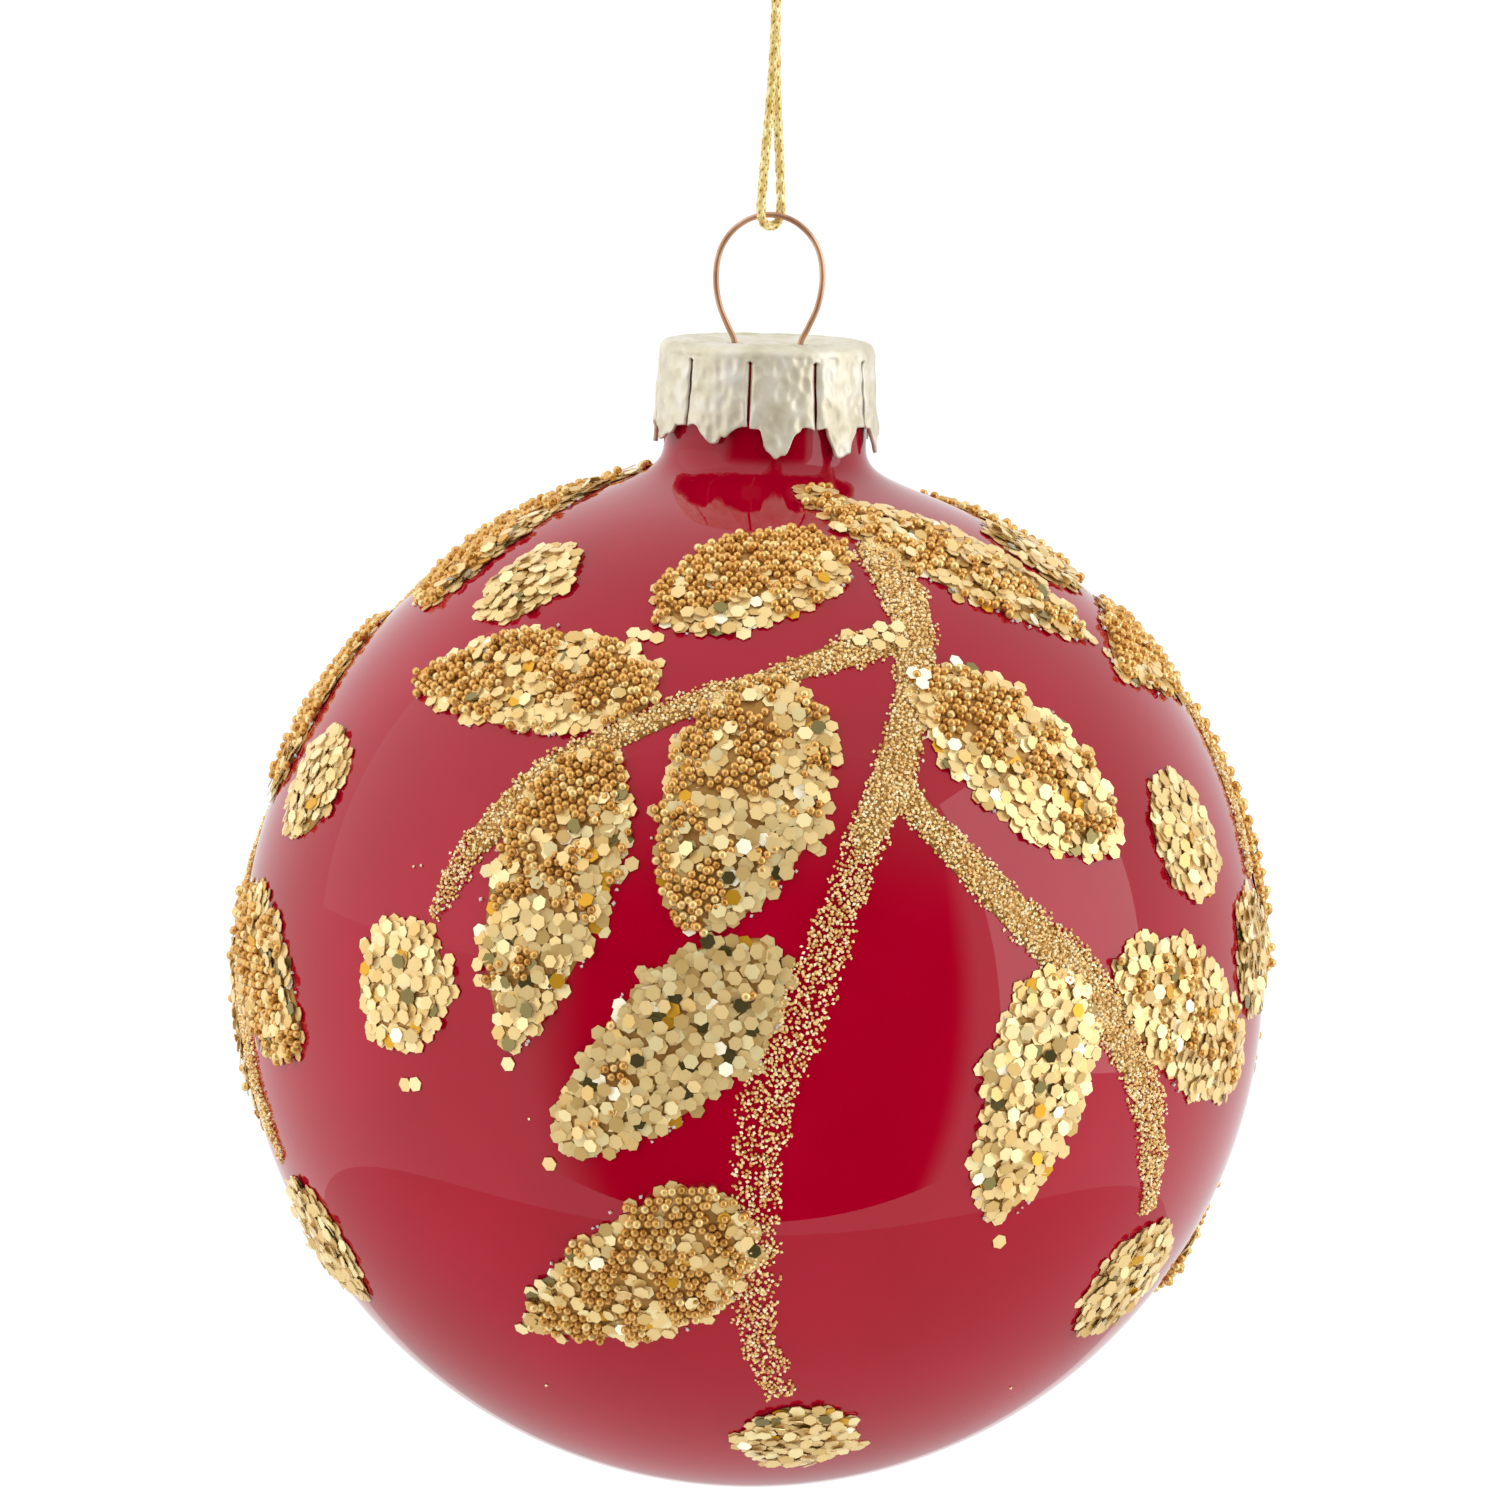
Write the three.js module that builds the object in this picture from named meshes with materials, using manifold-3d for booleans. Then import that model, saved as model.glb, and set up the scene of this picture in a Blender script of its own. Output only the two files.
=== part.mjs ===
// A glass ball ornament: a blown glass ball with an open neck, a crimped metal cap, a sprung wire hanger, a
// knotted loop of metallic cord, and three glued glitter sprigs round the ball with a few separate dots.
// Millimetres, +Z up. The origin is the knot of the cord, which is the point that the ornament hangs from.
// The front of the ornament faces -Y.
import * as THREE from "three";
import { mergeVertices } from "three/addons/utils/BufferGeometryUtils.js";
import Module from "manifold-3d";

const wasm = await Module();
wasm.setup();

// ---- Driving dimensions ------------------------------------------------------------------------------------

const BALL_RADIUS = 40;
const GLASS_THICKNESS = 0.8;
const NECK_RADIUS = 7.9; // outside of the neck
const NECK_BORE = 7.05; // radius inside the neck
const NECK_TOP = 48.8; // rim of the neck above the ball's centre
const NECK_FOOT = 41.6; // height where the neck starts to flare into the shoulder
const SHOULDER_ANGLE = 22; // degrees from the pole where the shoulder leaves the ball's sphere

const CAP_TOP = 49.8; // flat top of the cap above the ball's centre
const CAP_THICKNESS = 0.35;
const CAP_RADIUS_TOP = 8.4;
const CAP_RADIUS_FOOT = 8.75;
const CAP_EDGE = 0.8; // radius of the rounded edge
const CAP_FOOT = 43.9; // lower edge of the tabs, beside the slits
const CAP_BUTTON_RADIUS = 1.3; // raised middle between the wire holes
const CAP_BUTTON_HEIGHT = 0.25;
const TAB_COUNT = 10;
const SLIT_ANGLE = 3; // degrees
const FIRST_SLIT = -9; // degrees from the front
const TOOTH_DEPTHS = [2.5, 1.6, 1.4, 1.9, 1.3, 2.1, 1.5, 1.8, 1.5, 1.4];

const WIRE_RADIUS = 0.23;
const HOLE_RADIUS = 0.7;
const LEG_X = 2.5; // the legs pass the cap this far from its middle
const RING_HALF_WIDTH = 4.15;
const RING_TOP = 59.6; // wire's centre line at the top of the ring, above the ball's centre

const CORD_RADIUS = 0.36;
const CORD_SIDES = 8;
const HANG_TO_RING = 23; // from the hanging point down to the wire at the top of the ring
const BIGHT_RADIUS = 1.1; // centre line of the cord where it turns round the wire
const BIGHT_RISE = 0.2; // centre of that turn above the wire's centre
const BIGHT_TURN = 46; // degrees that the turn's plane stands round from the ring's plane

const GAP = 0.3; // clearance between neighbouring pieces
const PATCH_EDGE = 0.65; // glitter relief above the glass at a patch's edge
const PATCH_MIDDLE = 1; // and at its middle
const PATCH_INSET = 0.5; // degrees that a patch's solid keeps inside its ragged outline

const BALL_Z = -(HANG_TO_RING + RING_TOP);
const DEG = Math.PI / 180;
const LATHE_STEPS = 40;

// ---- Layout of the glitter, in degrees on the ball: [azimuth from the front, elevation] --------------------

// A leaf runs from its base to its tip. Its half widths are those on the left and the right of the way from
// base to tip; belly below 1 moves the widest place towards the base; blunt below 1 makes the ends rounder.
const LEAVES = [
  { base: [20, 61.5], tip: [-17.5, 47.5], left: 8.8, right: 8, belly: 0.95, blunt: 0.55 },
  { base: [18, 70.5], tip: [62.5, 45], left: 6.6, right: 9.2, belly: 1, blunt: 0.5 },
  { base: [-13.5, 37.5], tip: [-55.5, 36.5], left: 7.4, right: 7.4, belly: 0.8, blunt: 0.6 },
  { base: [-19.5, 31], tip: [-27, -3.5], left: 7.6, right: 8.5, belly: 0.8, blunt: 0.6 },
  { base: [4.5, 40], tip: [-6.5, 10], left: 9.5, right: 9.8, belly: 0.85, blunt: 0.5 },
  { base: [22, 40.5], tip: [47, 19], left: 8.5, right: 8.7, belly: 1, blunt: 0.5 },
  { base: [3, 9.5], tip: [-22, -14.5], left: 8.2, right: 7.8, belly: 0.8, blunt: 0.6 },
  { base: [0, -20.5], tip: [-31, -37.5], left: 8.8, right: 8, belly: 0.7, blunt: 0.55 },
  { base: [37, 6.5], tip: [30.5, -24], left: 6.3, right: 8.3, belly: 0.75, blunt: 0.55 },
  { base: [43.5, 6.5], tip: [72.5, -8], left: 8.3, right: 7.5, belly: 1, blunt: 0.5 },
];

// A round patch: its centre and its radius.
const BERRIES = [
  { centre: [-42, 2.5], radius: 7.4 },
  { centre: [60.5, -32], radius: 7.8 },
  { centre: [12, -57], radius: 7.4 },
];
const BUD = { centre: [22, 72.5], radius: 3.4 };

// A stem line is a row of [azimuth, elevation, half width].
const MAIN_STEM = [
  [27, 62, 3],
  [26.5, 54, 3.1],
  [26, 48.5, 2.9],
  [24, 43.5, 2.7],
  [22, 38.5, 2.4],
  [19.5, 33.5, 2.4],
  [17, 28, 2.8],
  [14, 23, 2.4],
  [11.5, 17.5, 2.4],
  [9, 11, 2.4],
  [7, 5.5, 2.7],
  [5, 0, 3],
  [2.5, -6, 3.1],
  [1.5, -12, 3.1],
  [1, -18, 2.9],
  [1, -25.5, 2.7],
  [1.5, -32.5, 2.5],
  [3, -40, 2.3],
  [6.5, -48, 2],
];
const LEFT_BRANCH = [
  [23, 46.5, 2.1],
  [14.5, 44.3, 2.3],
  [7, 42.2, 1.8],
  [0, 39.8, 1.6],
  [-6.5, 37.8, 1.6],
  [-12.2, 35.2, 1.6],
  [-18.4, 32.3, 1.9],
  [-23.2, 29.6, 2.2],
  [-27, 26.8, 2.5],
  [-30, 23.4, 2.5],
  [-33, 19.8, 2.3],
  [-35.6, 15.4, 2],
  [-38.3, 10.4, 1.2],
];
const RIGHT_BRANCH = [
  [17, 28.5, 2],
  [20.5, 23.5, 2],
  [24, 19.5, 2.2],
  [28, 15.5, 2.4],
  [32, 11.5, 2.6],
  [36.5, 7.5, 2.8],
  [40.5, 4, 2.8],
  [44, 0, 2.6],
  [47, -4, 2.5],
  [50, -8, 2.6],
  [52, -12, 2.6],
  [54, -16, 2.3],
  [55.5, -19.5, 1.7],
  [56.5, -22.5, 1.2],
];

// The three sprigs are the same drawing, turned round the ball, and drawn by hand a little differently.
const SPRIG_MIDDLE = 20; // azimuth that a sprig's spread is counted from
const SPRIGS = [
  { name: "front", turn: 0, spread: 1, lift: 0, dots: [[-47.5, 52.5, 6.7], [-67.5, 23, 6.9]] },
  { name: "right", turn: 118, spread: 0.98, lift: 3, dots: [[80, 57.5, 6.6], [61.5, 20, 7.3]] },
  { name: "left", turn: -127, spread: 0.9, lift: 1.5, dots: [[-163, 56, 6.5], [176, 22, 6.7]] },
];

// ---- Materials ---------------------------------------------------------------------------------------------

const material = (color, roughness, metalness) => new THREE.MeshStandardMaterial({ color, roughness, metalness });
const RED_LACQUER = material("#a5001f", 0.06, 0.1);
const CAP_METAL = material("#d5cfb5", 0.38, 0.9);
const COPPER_WIRE = material("#a87c60", 0.3, 1);
const GOLD_THREAD = material("#d9bf62", 0.45, 0.8);
const HEX_GLITTER = material("#dccb8e", 0.35, 0.9);
const BEAD_GLITTER = material("#c8985a", 0.3, 0.9);
const FINE_GLITTER = material("#e0c88c", 0.35, 0.9);

// ---- Solids ------------------------------------------------------------------------------------------------

// The manifold-3d solid of a closed geometry.
function solidOf(geometry) {
  const bare = geometry.clone();
  bare.deleteAttribute("normal");
  bare.deleteAttribute("uv");
  const merged = mergeVertices(bare, 1e-4);
  const index = merged.index.array;
  const triangles = [];
  for (let i = 0; i < index.length; i += 3) {
    const [a, b, c] = [index[i], index[i + 1], index[i + 2]];
    if (a !== b && b !== c && c !== a) triangles.push(a, b, c);
  }
  const mesh = new wasm.Mesh({
    numProp: 3,
    vertProperties: merged.attributes.position.array,
    triVerts: new Uint32Array(triangles),
  });
  return new wasm.Manifold(mesh);
}

function geometryOf(solid) {
  const mesh = solid.getMesh();
  const geometry = new THREE.BufferGeometry();
  geometry.setAttribute("position", new THREE.BufferAttribute(mesh.vertProperties, 3));
  geometry.setIndex(new THREE.BufferAttribute(mesh.triVerts, 1));
  geometry.computeVertexNormals();
  return geometry;
}

function named(name, geometry, look) {
  const mesh = new THREE.Mesh(geometry, look);
  mesh.name = name;
  return mesh;
}

// A lathe about Z from [radius, height] points.
function lathe(points, steps = LATHE_STEPS) {
  const profile = points.map(([r, z]) => new THREE.Vector2(r, z));
  return new THREE.LatheGeometry(profile, steps).rotateX(Math.PI / 2);
}

// A round bar along a curve, closed at both ends.
function bar(curve, radius, sides, steps) {
  const section = new THREE.Shape();
  for (let i = 0; i < sides; i++) {
    const angle = (i * 2 * Math.PI) / sides;
    const [x, y] = [radius * Math.cos(angle), radius * Math.sin(angle)];
    if (i) section.lineTo(x, y);
    else section.moveTo(x, y);
  }
  section.closePath();
  return new THREE.ExtrudeGeometry(section, { steps, extrudePath: curve });
}

// ---- Outline of the glass ----------------------------------------------------------------------------------

// The ball's wall from the bottom pole to the rim, with the sphere of one radius and the neck of another.
function wallPoints(radius, neck, steps) {
  const points = [];
  for (let i = 0; i <= steps; i++) {
    const fromPole = 180 - (i / steps) * (180 - SHOULDER_ANGLE);
    points.push([radius * Math.sin(fromPole * DEG), radius * Math.cos(fromPole * DEG)]);
  }
  points[0][0] = 0;
  const [r, z] = points[steps];
  const reach = 0.65 * (r - neck);
  const shoulder = new THREE.CubicBezierCurve(
    new THREE.Vector2(r, z),
    new THREE.Vector2(r - reach, z + reach * Math.tan(SHOULDER_ANGLE * DEG)),
    new THREE.Vector2(neck, NECK_FOOT - 2.2),
    new THREE.Vector2(neck, NECK_FOOT),
  );
  const bend = shoulder.getPoints(4).slice(1);
  return [...points, ...bend.map((p) => [p.x, p.y]), [neck, NECK_TOP]];
}

const OUTSIDE = wallPoints(BALL_RADIUS, NECK_RADIUS, 14);

// How far the glass's outside stands from the ball's centre in a direction, as far up as the neck.
function glassReach(way) {
  const fromPole = (point) => Math.atan2(point[0], point[1]) / DEG;
  const angle = Math.acos(way.z) / DEG;
  const above = OUTSIDE.findIndex((point) => fromPole(point) <= angle);
  if (above < 1 || angle > SHOULDER_ANGLE) return BALL_RADIUS;
  const [low, high] = [OUTSIDE[above - 1], OUTSIDE[above]];
  const share = (fromPole(low) - angle) / (fromPole(low) - fromPole(high));
  return Math.hypot(low[0] + (high[0] - low[0]) * share, low[1] + (high[1] - low[1]) * share);
}

// ---- Glitter patches on the ball ---------------------------------------------------------------------------

// The direction from the ball's centre to a place on the ball.
function direction(azimuth, elevation) {
  const [a, e] = [azimuth * DEG, elevation * DEG];
  return new THREE.Vector3(Math.cos(e) * Math.sin(a), -Math.cos(e) * Math.cos(a), Math.sin(e));
}

// A direction moved sideways by an angle in degrees, towards another direction at right angles to it.
function shifted(from, towards, angle) {
  const moved = from.clone().multiplyScalar(Math.cos(angle * DEG));
  return moved.addScaledVector(towards, Math.sin(angle * DEG));
}

// A curved plate on the ball from rows of three directions, [left, middle, right]. Its lower face stands
// `low` above the glass, and its upper face `edge` at the sides and `middle` along the middle.
function plate(rows, low, edge, middle) {
  const position = [];
  const index = [];
  const last = rows.length - 1;
  const add = (way, height) => {
    const point = way.clone().multiplyScalar(glassReach(way) + height);
    position.push(point.x, point.y, point.z + BALL_Z);
  };
  for (const row of rows) {
    row.forEach((way, i) => add(way, i === 1 ? middle : edge));
    row.forEach((way) => add(way, low));
  }
  const quad = (a, b, c, d) => index.push(a, b, c, a, c, d);
  for (let r = 0; r < last; r++) {
    const [here, next] = [r * 6, r * 6 + 6];
    for (const i of [0, 1]) {
      quad(here + i, here + i + 1, next + i + 1, next + i);
      quad(here + 3 + i, next + 3 + i, next + 4 + i, here + 4 + i);
    }
    quad(here, next, next + 3, here + 3);
    quad(here + 2, here + 5, next + 5, next + 2);
  }
  const end = last * 6;
  for (const i of [0, 1]) {
    quad(i, i + 3, i + 4, i + 1);
    quad(end + i, end + i + 1, end + i + 4, end + i + 3);
  }
  const geometry = new THREE.BufferGeometry();
  geometry.setAttribute("position", new THREE.BufferAttribute(new Float32Array(position), 3));
  geometry.setIndex(index);
  return geometry;
}

// Rows of a patch that runs along a great circle from base to tip; width(u) gives [left, right] half widths.
function patchRows(base, tip, width, count) {
  const across = base.clone().cross(tip).normalize();
  const ahead = across.clone().cross(base);
  const reach = base.angleTo(tip) / DEG;
  const rows = [];
  for (let i = 0; i <= count; i++) {
    const u = (1 - Math.cos((Math.PI * i) / count)) / 2;
    const middle = shifted(base, ahead, u * reach);
    const [left, right] = width(u);
    rows.push([shifted(middle, across, left), middle, shifted(middle, across, -right)]);
  }
  return rows;
}

// A patch's solid, or with grow above 0 a cutter that reaches through a patch that meets this one.
function patchSolid(rows, grow) {
  if (grow) return solidOf(plate(rows, GAP - 1, PATCH_MIDDLE + 1, PATCH_MIDDLE + 1));
  return solidOf(plate(rows, GAP, PATCH_EDGE, PATCH_MIDDLE));
}

function leafSolid(leaf, place, grow) {
  const margin = grow - PATCH_INSET;
  const width = (u) => {
    const share = Math.sin(Math.PI * u ** leaf.belly) ** leaf.blunt;
    return [(leaf.left + margin) * share || 0, (leaf.right + margin) * share || 0];
  };
  const [base, tip] = [place(...leaf.base), place(...leaf.tip)];
  const ahead = base.clone().cross(tip).normalize().cross(base);
  const reach = base.angleTo(tip) / DEG + grow;
  return patchSolid(patchRows(shifted(base, ahead, -grow), shifted(base, ahead, reach), width, 7), grow);
}

function roundSolid(centre, radius, grow) {
  const up = direction(0, 90);
  const ahead = up.addScaledVector(centre, -up.dot(centre)).normalize();
  const reach = radius + grow - PATCH_INSET;
  const width = (u) => {
    const half = 2 * reach * Math.sqrt(Math.max(0, u * (1 - u)));
    return [half, half];
  };
  return patchSolid(patchRows(shifted(centre, ahead, -reach), shifted(centre, ahead, reach), width, 6), grow);
}

function lineSolid(line, place, grow) {
  const middles = line.map(([azimuth, elevation]) => place(azimuth, elevation));
  const rows = middles.map((middle, i) => {
    const before = middles[Math.max(i - 1, 0)];
    const after = middles[Math.min(i + 1, middles.length - 1)];
    const along = after.clone().sub(before);
    const across = middle.clone().cross(along).normalize();
    const half = line[i][2] + grow;
    return [shifted(middle, across, half), middle, shifted(middle, across, -half)];
  });
  return patchSolid(rows, grow);
}

function stemSolid(place, grow) {
  const [main, left, right] = [MAIN_STEM, LEFT_BRANCH, RIGHT_BRANCH].map((line) => lineSolid(line, place, grow));
  return main.add(left).add(right);
}

// The room on the ball that the patches made so far take up, with the clearance round them.
let taken = null;

// A patch's mesh, trimmed to stay clear of the patches made before it; its largest remaining piece is kept.
function patch(name, make, look) {
  let solid = make(0);
  if (taken) solid = solid.subtract(taken).decompose().sort((a, b) => b.volume() - a.volume())[0];
  const cutter = make(GAP / BALL_RADIUS / DEG);
  taken = taken ? taken.add(cutter) : cutter;
  return named(name, geometryOf(solid), look);
}

function makeSprig(sprig) {
  const place = (azimuth, elevation) =>
    direction(SPRIG_MIDDLE + (azimuth - SPRIG_MIDDLE) * sprig.spread + sprig.turn, elevation + sprig.lift);
  const group = new THREE.Group();
  group.add(patch(`${sprig.name}_stem`, (grow) => stemSolid(place, grow), FINE_GLITTER));
  const bud = (grow) => roundSolid(place(...BUD.centre), BUD.radius, grow);
  group.add(patch(`${sprig.name}_bud`, bud, HEX_GLITTER));
  LEAVES.forEach((leaf, i) => {
    group.add(patch(`${sprig.name}_leaf_${i + 1}`, (grow) => leafSolid(leaf, place, grow), BEAD_GLITTER));
  });
  BERRIES.forEach(({ centre, radius }, i) => {
    const berry = (grow) => roundSolid(place(...centre), radius, grow);
    group.add(patch(`${sprig.name}_berry_${i + 1}`, berry, HEX_GLITTER));
  });
  sprig.dots.forEach(([azimuth, elevation, radius], i) => {
    const dot = (grow) => roundSolid(direction(azimuth, elevation), radius, grow);
    group.add(patch(`${sprig.name}_dot_${i + 1}`, dot, HEX_GLITTER));
  });
  return group;
}

// ---- Glass ball --------------------------------------------------------------------------------------------

function makeBall() {
  const inside = wallPoints(BALL_RADIUS - GLASS_THICKNESS, NECK_BORE, 9).reverse();
  const wall = [...OUTSIDE, ...inside].map(([r, z]) => [r, z + BALL_Z]);
  return named("glass_ball", lathe(wall), RED_LACQUER);
}

// ---- Cap ---------------------------------------------------------------------------------------------------

const SLIT_TOP = CAP_TOP - CAP_EDGE - 0.2;

// The skirt's outside radius at a height.
function skirtRadius(height) {
  const share = (CAP_TOP - CAP_EDGE - height) / (CAP_TOP - CAP_EDGE - CAP_FOOT);
  return CAP_RADIUS_TOP + (CAP_RADIUS_FOOT - CAP_RADIUS_TOP) * share;
}

// The cap's closed top: a raised button, a flat disc and a rounded edge, as one thin shell.
function capTop() {
  const edgeMiddle = [CAP_RADIUS_TOP - CAP_EDGE, CAP_TOP - CAP_EDGE];
  const edge = (radius) =>
    [0, 30, 60, 90].map((a) => [
      edgeMiddle[0] + radius * Math.sin(a * DEG),
      edgeMiddle[1] + radius * Math.cos(a * DEG),
    ]);
  const outer = [
    [0, CAP_TOP + CAP_BUTTON_HEIGHT],
    [CAP_BUTTON_RADIUS, CAP_TOP + CAP_BUTTON_HEIGHT],
    [CAP_BUTTON_RADIUS + 0.3, CAP_TOP],
    ...edge(CAP_EDGE),
    [skirtRadius(SLIT_TOP), SLIT_TOP],
  ];
  const inner = [
    [skirtRadius(SLIT_TOP) - CAP_THICKNESS, SLIT_TOP],
    ...edge(CAP_EDGE - CAP_THICKNESS).reverse(),
    [0, CAP_TOP - CAP_THICKNESS],
  ];
  return solidOf(lathe([...outer, ...inner].reverse()));
}

// One tab of the skirt: a curved plate between two slits, with a pointed tooth in its lower edge.
function capTab(start, toothDepth) {
  const span = 360 / TAB_COUNT - SLIT_ANGLE;
  const shares = [0, 0.22, 0.5, 0.78, 1];
  const drops = [0, 0, toothDepth, 0.1, 0.1];
  const position = [];
  const index = [];
  const overlap = 0.1; // the tab runs this far up into the closed top, which it is joined to
  shares.forEach((share, i) => {
    const angle = (start + share * span) * DEG;
    const foot = CAP_FOOT - drops[i];
    for (const height of [SLIT_TOP + overlap, foot]) {
      for (const inset of [0, CAP_THICKNESS]) {
        const r = skirtRadius(Math.max(height, CAP_FOOT - 0.5)) - inset;
        position.push(r * Math.sin(angle), -r * Math.cos(angle), height);
      }
    }
  });
  const quad = (a, b, c, d) => index.push(a, b, c, a, c, d);
  for (let i = 0; i < shares.length - 1; i++) {
    const [here, next] = [i * 4, i * 4 + 4];
    quad(here, here + 2, next + 2, next);
    quad(here + 1, next + 1, next + 3, here + 3);
    quad(here, next, next + 1, here + 1);
    quad(here + 2, here + 3, next + 3, next + 2);
  }
  const end = (shares.length - 1) * 4;
  quad(0, 1, 3, 2);
  quad(end, end + 2, end + 3, end + 1);
  const geometry = new THREE.BufferGeometry();
  geometry.setAttribute("position", new THREE.BufferAttribute(new Float32Array(position), 3));
  geometry.setIndex(index);
  return solidOf(geometry);
}

function makeCap() {
  let cap = capTop();
  TOOTH_DEPTHS.forEach((depth, i) => {
    cap = cap.add(capTab(FIRST_SLIT + SLIT_ANGLE / 2 + (i * 360) / TAB_COUNT, depth));
  });
  for (const side of [-1, 1]) {
    const drill = new THREE.CylinderGeometry(HOLE_RADIUS, HOLE_RADIUS, 4, 12).rotateX(Math.PI / 2);
    cap = cap.subtract(solidOf(drill.translate(side * LEG_X, 0, CAP_TOP)));
  }
  return named("cap", geometryOf(cap).translate(0, 0, BALL_Z), CAP_METAL);
}

// ---- Wire hanger -------------------------------------------------------------------------------------------

// Half of the wire's centre line, [x, z above the ball's centre], from a sprung leg's end up to the ring's top.
const WIRE_HALF = [
  [6.2, 34],
  [6.1, 36.6],
  [5.2, 39.6],
  [3.6, 42.8],
  [2.6, 44.8],
  [LEG_X, 46.2],
  [LEG_X, 47.6],
  [LEG_X, 48.9],
  [2.62, 49.8],
  [3.15, 50.9],
  [3.85, 52.6],
  [RING_HALF_WIDTH, 54.75],
  [3.85, 56.75],
  [3, 58.2],
  [1.6, 59.25],
];

function makeHanger() {
  const point = ([x, z]) => new THREE.Vector3(x, 0, z + BALL_Z);
  const left = WIRE_HALF.map(([x, z]) => point([-x, z]));
  const right = WIRE_HALF.map(point).reverse();
  const path = new THREE.CatmullRomCurve3([...left, point([0, RING_TOP]), ...right], false, "centripetal");
  return named("hanger_wire", bar(path, WIRE_RADIUS, 8, 60), COPPER_WIRE);
}

// ---- Cord and knot -----------------------------------------------------------------------------------------

// Half of the cord's centre line above its turn round the wire: [offset, degrees round, height over the wire].
const STRAND = [
  [1.1, 46, 0.9],
  [1.02, 48, 2.4],
  [0.92, 52, 4.4],
  [0.78, 58, 6.6],
  [0.62, 66, 9],
  [0.48, 76, 11.6],
  [0.42, 84, 14.4],
  [0.42, 90, 17.4],
  [0.42, 90, 20.2],
];
const STRAND_END = 21.2; // height over the wire where the strands enter the knot

function strandPoint(offset, turn, height, side) {
  const across = side * offset;
  const [x, y] = [across * Math.cos(turn * DEG), across * Math.sin(turn * DEG)];
  return new THREE.Vector3(x, y, height - HANG_TO_RING);
}

function makeCord() {
  const down = STRAND.map((row) => strandPoint(...row, -1)).reverse();
  const up = STRAND.map((row) => strandPoint(...row, 1));
  const turn = [180, 150, 120, 90, 60, 30, 0].map((a) => {
    const offset = BIGHT_RADIUS * Math.cos(a * DEG);
    return strandPoint(offset, BIGHT_TURN, BIGHT_RISE - BIGHT_RADIUS * Math.sin(a * DEG), 1);
  });
  const start = strandPoint(0.42, 90, STRAND_END, -1);
  const finish = strandPoint(0.42, 90, STRAND_END, 1);
  const path = new THREE.CatmullRomCurve3([start, ...down, ...turn, ...up, finish], false, "centripetal");
  return named("cord_loop", bar(path, CORD_RADIUS, CORD_SIDES, 56), GOLD_THREAD);
}

const KNOT_RADIUS = 1.25;
const KNOT_HALF_HEIGHT = 1.45;
const TAIL_LENGTH = 4.5;

function makeKnot() {
  const body = new THREE.SphereGeometry(1, 12, 8).rotateX(Math.PI / 2);
  body.scale(KNOT_RADIUS, KNOT_RADIUS, KNOT_HALF_HEIGHT);
  let knot = solidOf(body);
  for (const side of [-1, 1]) {
    const tail = new THREE.CatmullRomCurve3([
      new THREE.Vector3(side * 0.45, 0, 0.6),
      new THREE.Vector3(side * 0.6, side * 0.1, 0.6 + TAIL_LENGTH / 2),
      new THREE.Vector3(side * 1.2, side * 0.4, 0.6 + TAIL_LENGTH),
    ]);
    knot = knot.add(solidOf(bar(tail, CORD_RADIUS, CORD_SIDES, 4)));
  }
  return named("cord_knot", geometryOf(knot), GOLD_THREAD);
}

// ---- The ornament ------------------------------------------------------------------------------------------

const ornament = new THREE.Group();
const decorated = new THREE.Group();
decorated.add(makeBall(), ...SPRIGS.map(makeSprig));
ornament.add(makeKnot(), makeCord(), makeHanger(), makeCap(), decorated);

export default ornament;
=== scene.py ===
"""Glass ball ornament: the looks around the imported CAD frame, in metres.

The glass, cap, wire, cord, knot and every glitter patch are rebuilt as fine meshes in the places of
their CAD solids. Lengths inside this script are in millimetres until a mesh is made.
"""

import math

import bpy
import numpy as np
from mathutils import Matrix, Vector, noise


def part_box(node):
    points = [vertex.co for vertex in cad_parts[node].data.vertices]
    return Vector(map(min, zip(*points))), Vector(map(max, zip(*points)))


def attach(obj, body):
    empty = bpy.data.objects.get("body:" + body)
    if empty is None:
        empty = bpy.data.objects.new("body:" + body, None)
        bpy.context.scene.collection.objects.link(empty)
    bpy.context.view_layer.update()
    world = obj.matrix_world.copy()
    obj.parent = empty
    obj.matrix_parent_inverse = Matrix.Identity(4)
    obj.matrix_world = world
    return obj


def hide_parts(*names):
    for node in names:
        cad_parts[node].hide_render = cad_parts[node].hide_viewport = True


MM = 0.001
DEG = math.pi / 180

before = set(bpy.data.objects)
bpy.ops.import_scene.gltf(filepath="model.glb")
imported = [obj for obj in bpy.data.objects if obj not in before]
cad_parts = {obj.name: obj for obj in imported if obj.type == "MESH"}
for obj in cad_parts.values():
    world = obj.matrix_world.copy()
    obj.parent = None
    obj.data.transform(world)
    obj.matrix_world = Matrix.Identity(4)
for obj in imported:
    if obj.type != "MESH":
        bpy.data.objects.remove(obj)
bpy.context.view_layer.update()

# ---- Driving dimensions, in millimetres ----

ball_low, ball_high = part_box("glass_ball")
BALL_RADIUS = (ball_high.x - ball_low.x) / 2 / MM
BALL_Z = ball_low.z / MM + BALL_RADIUS
NECK_RADIUS = 7.9
NECK_BORE = 7.05
NECK_TOP = 48.8
NECK_FOOT = 41.6
NECK_LIP = 0.4
SHOULDER_ANGLE = 22
GLASS_THICKNESS = 0.8

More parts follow.
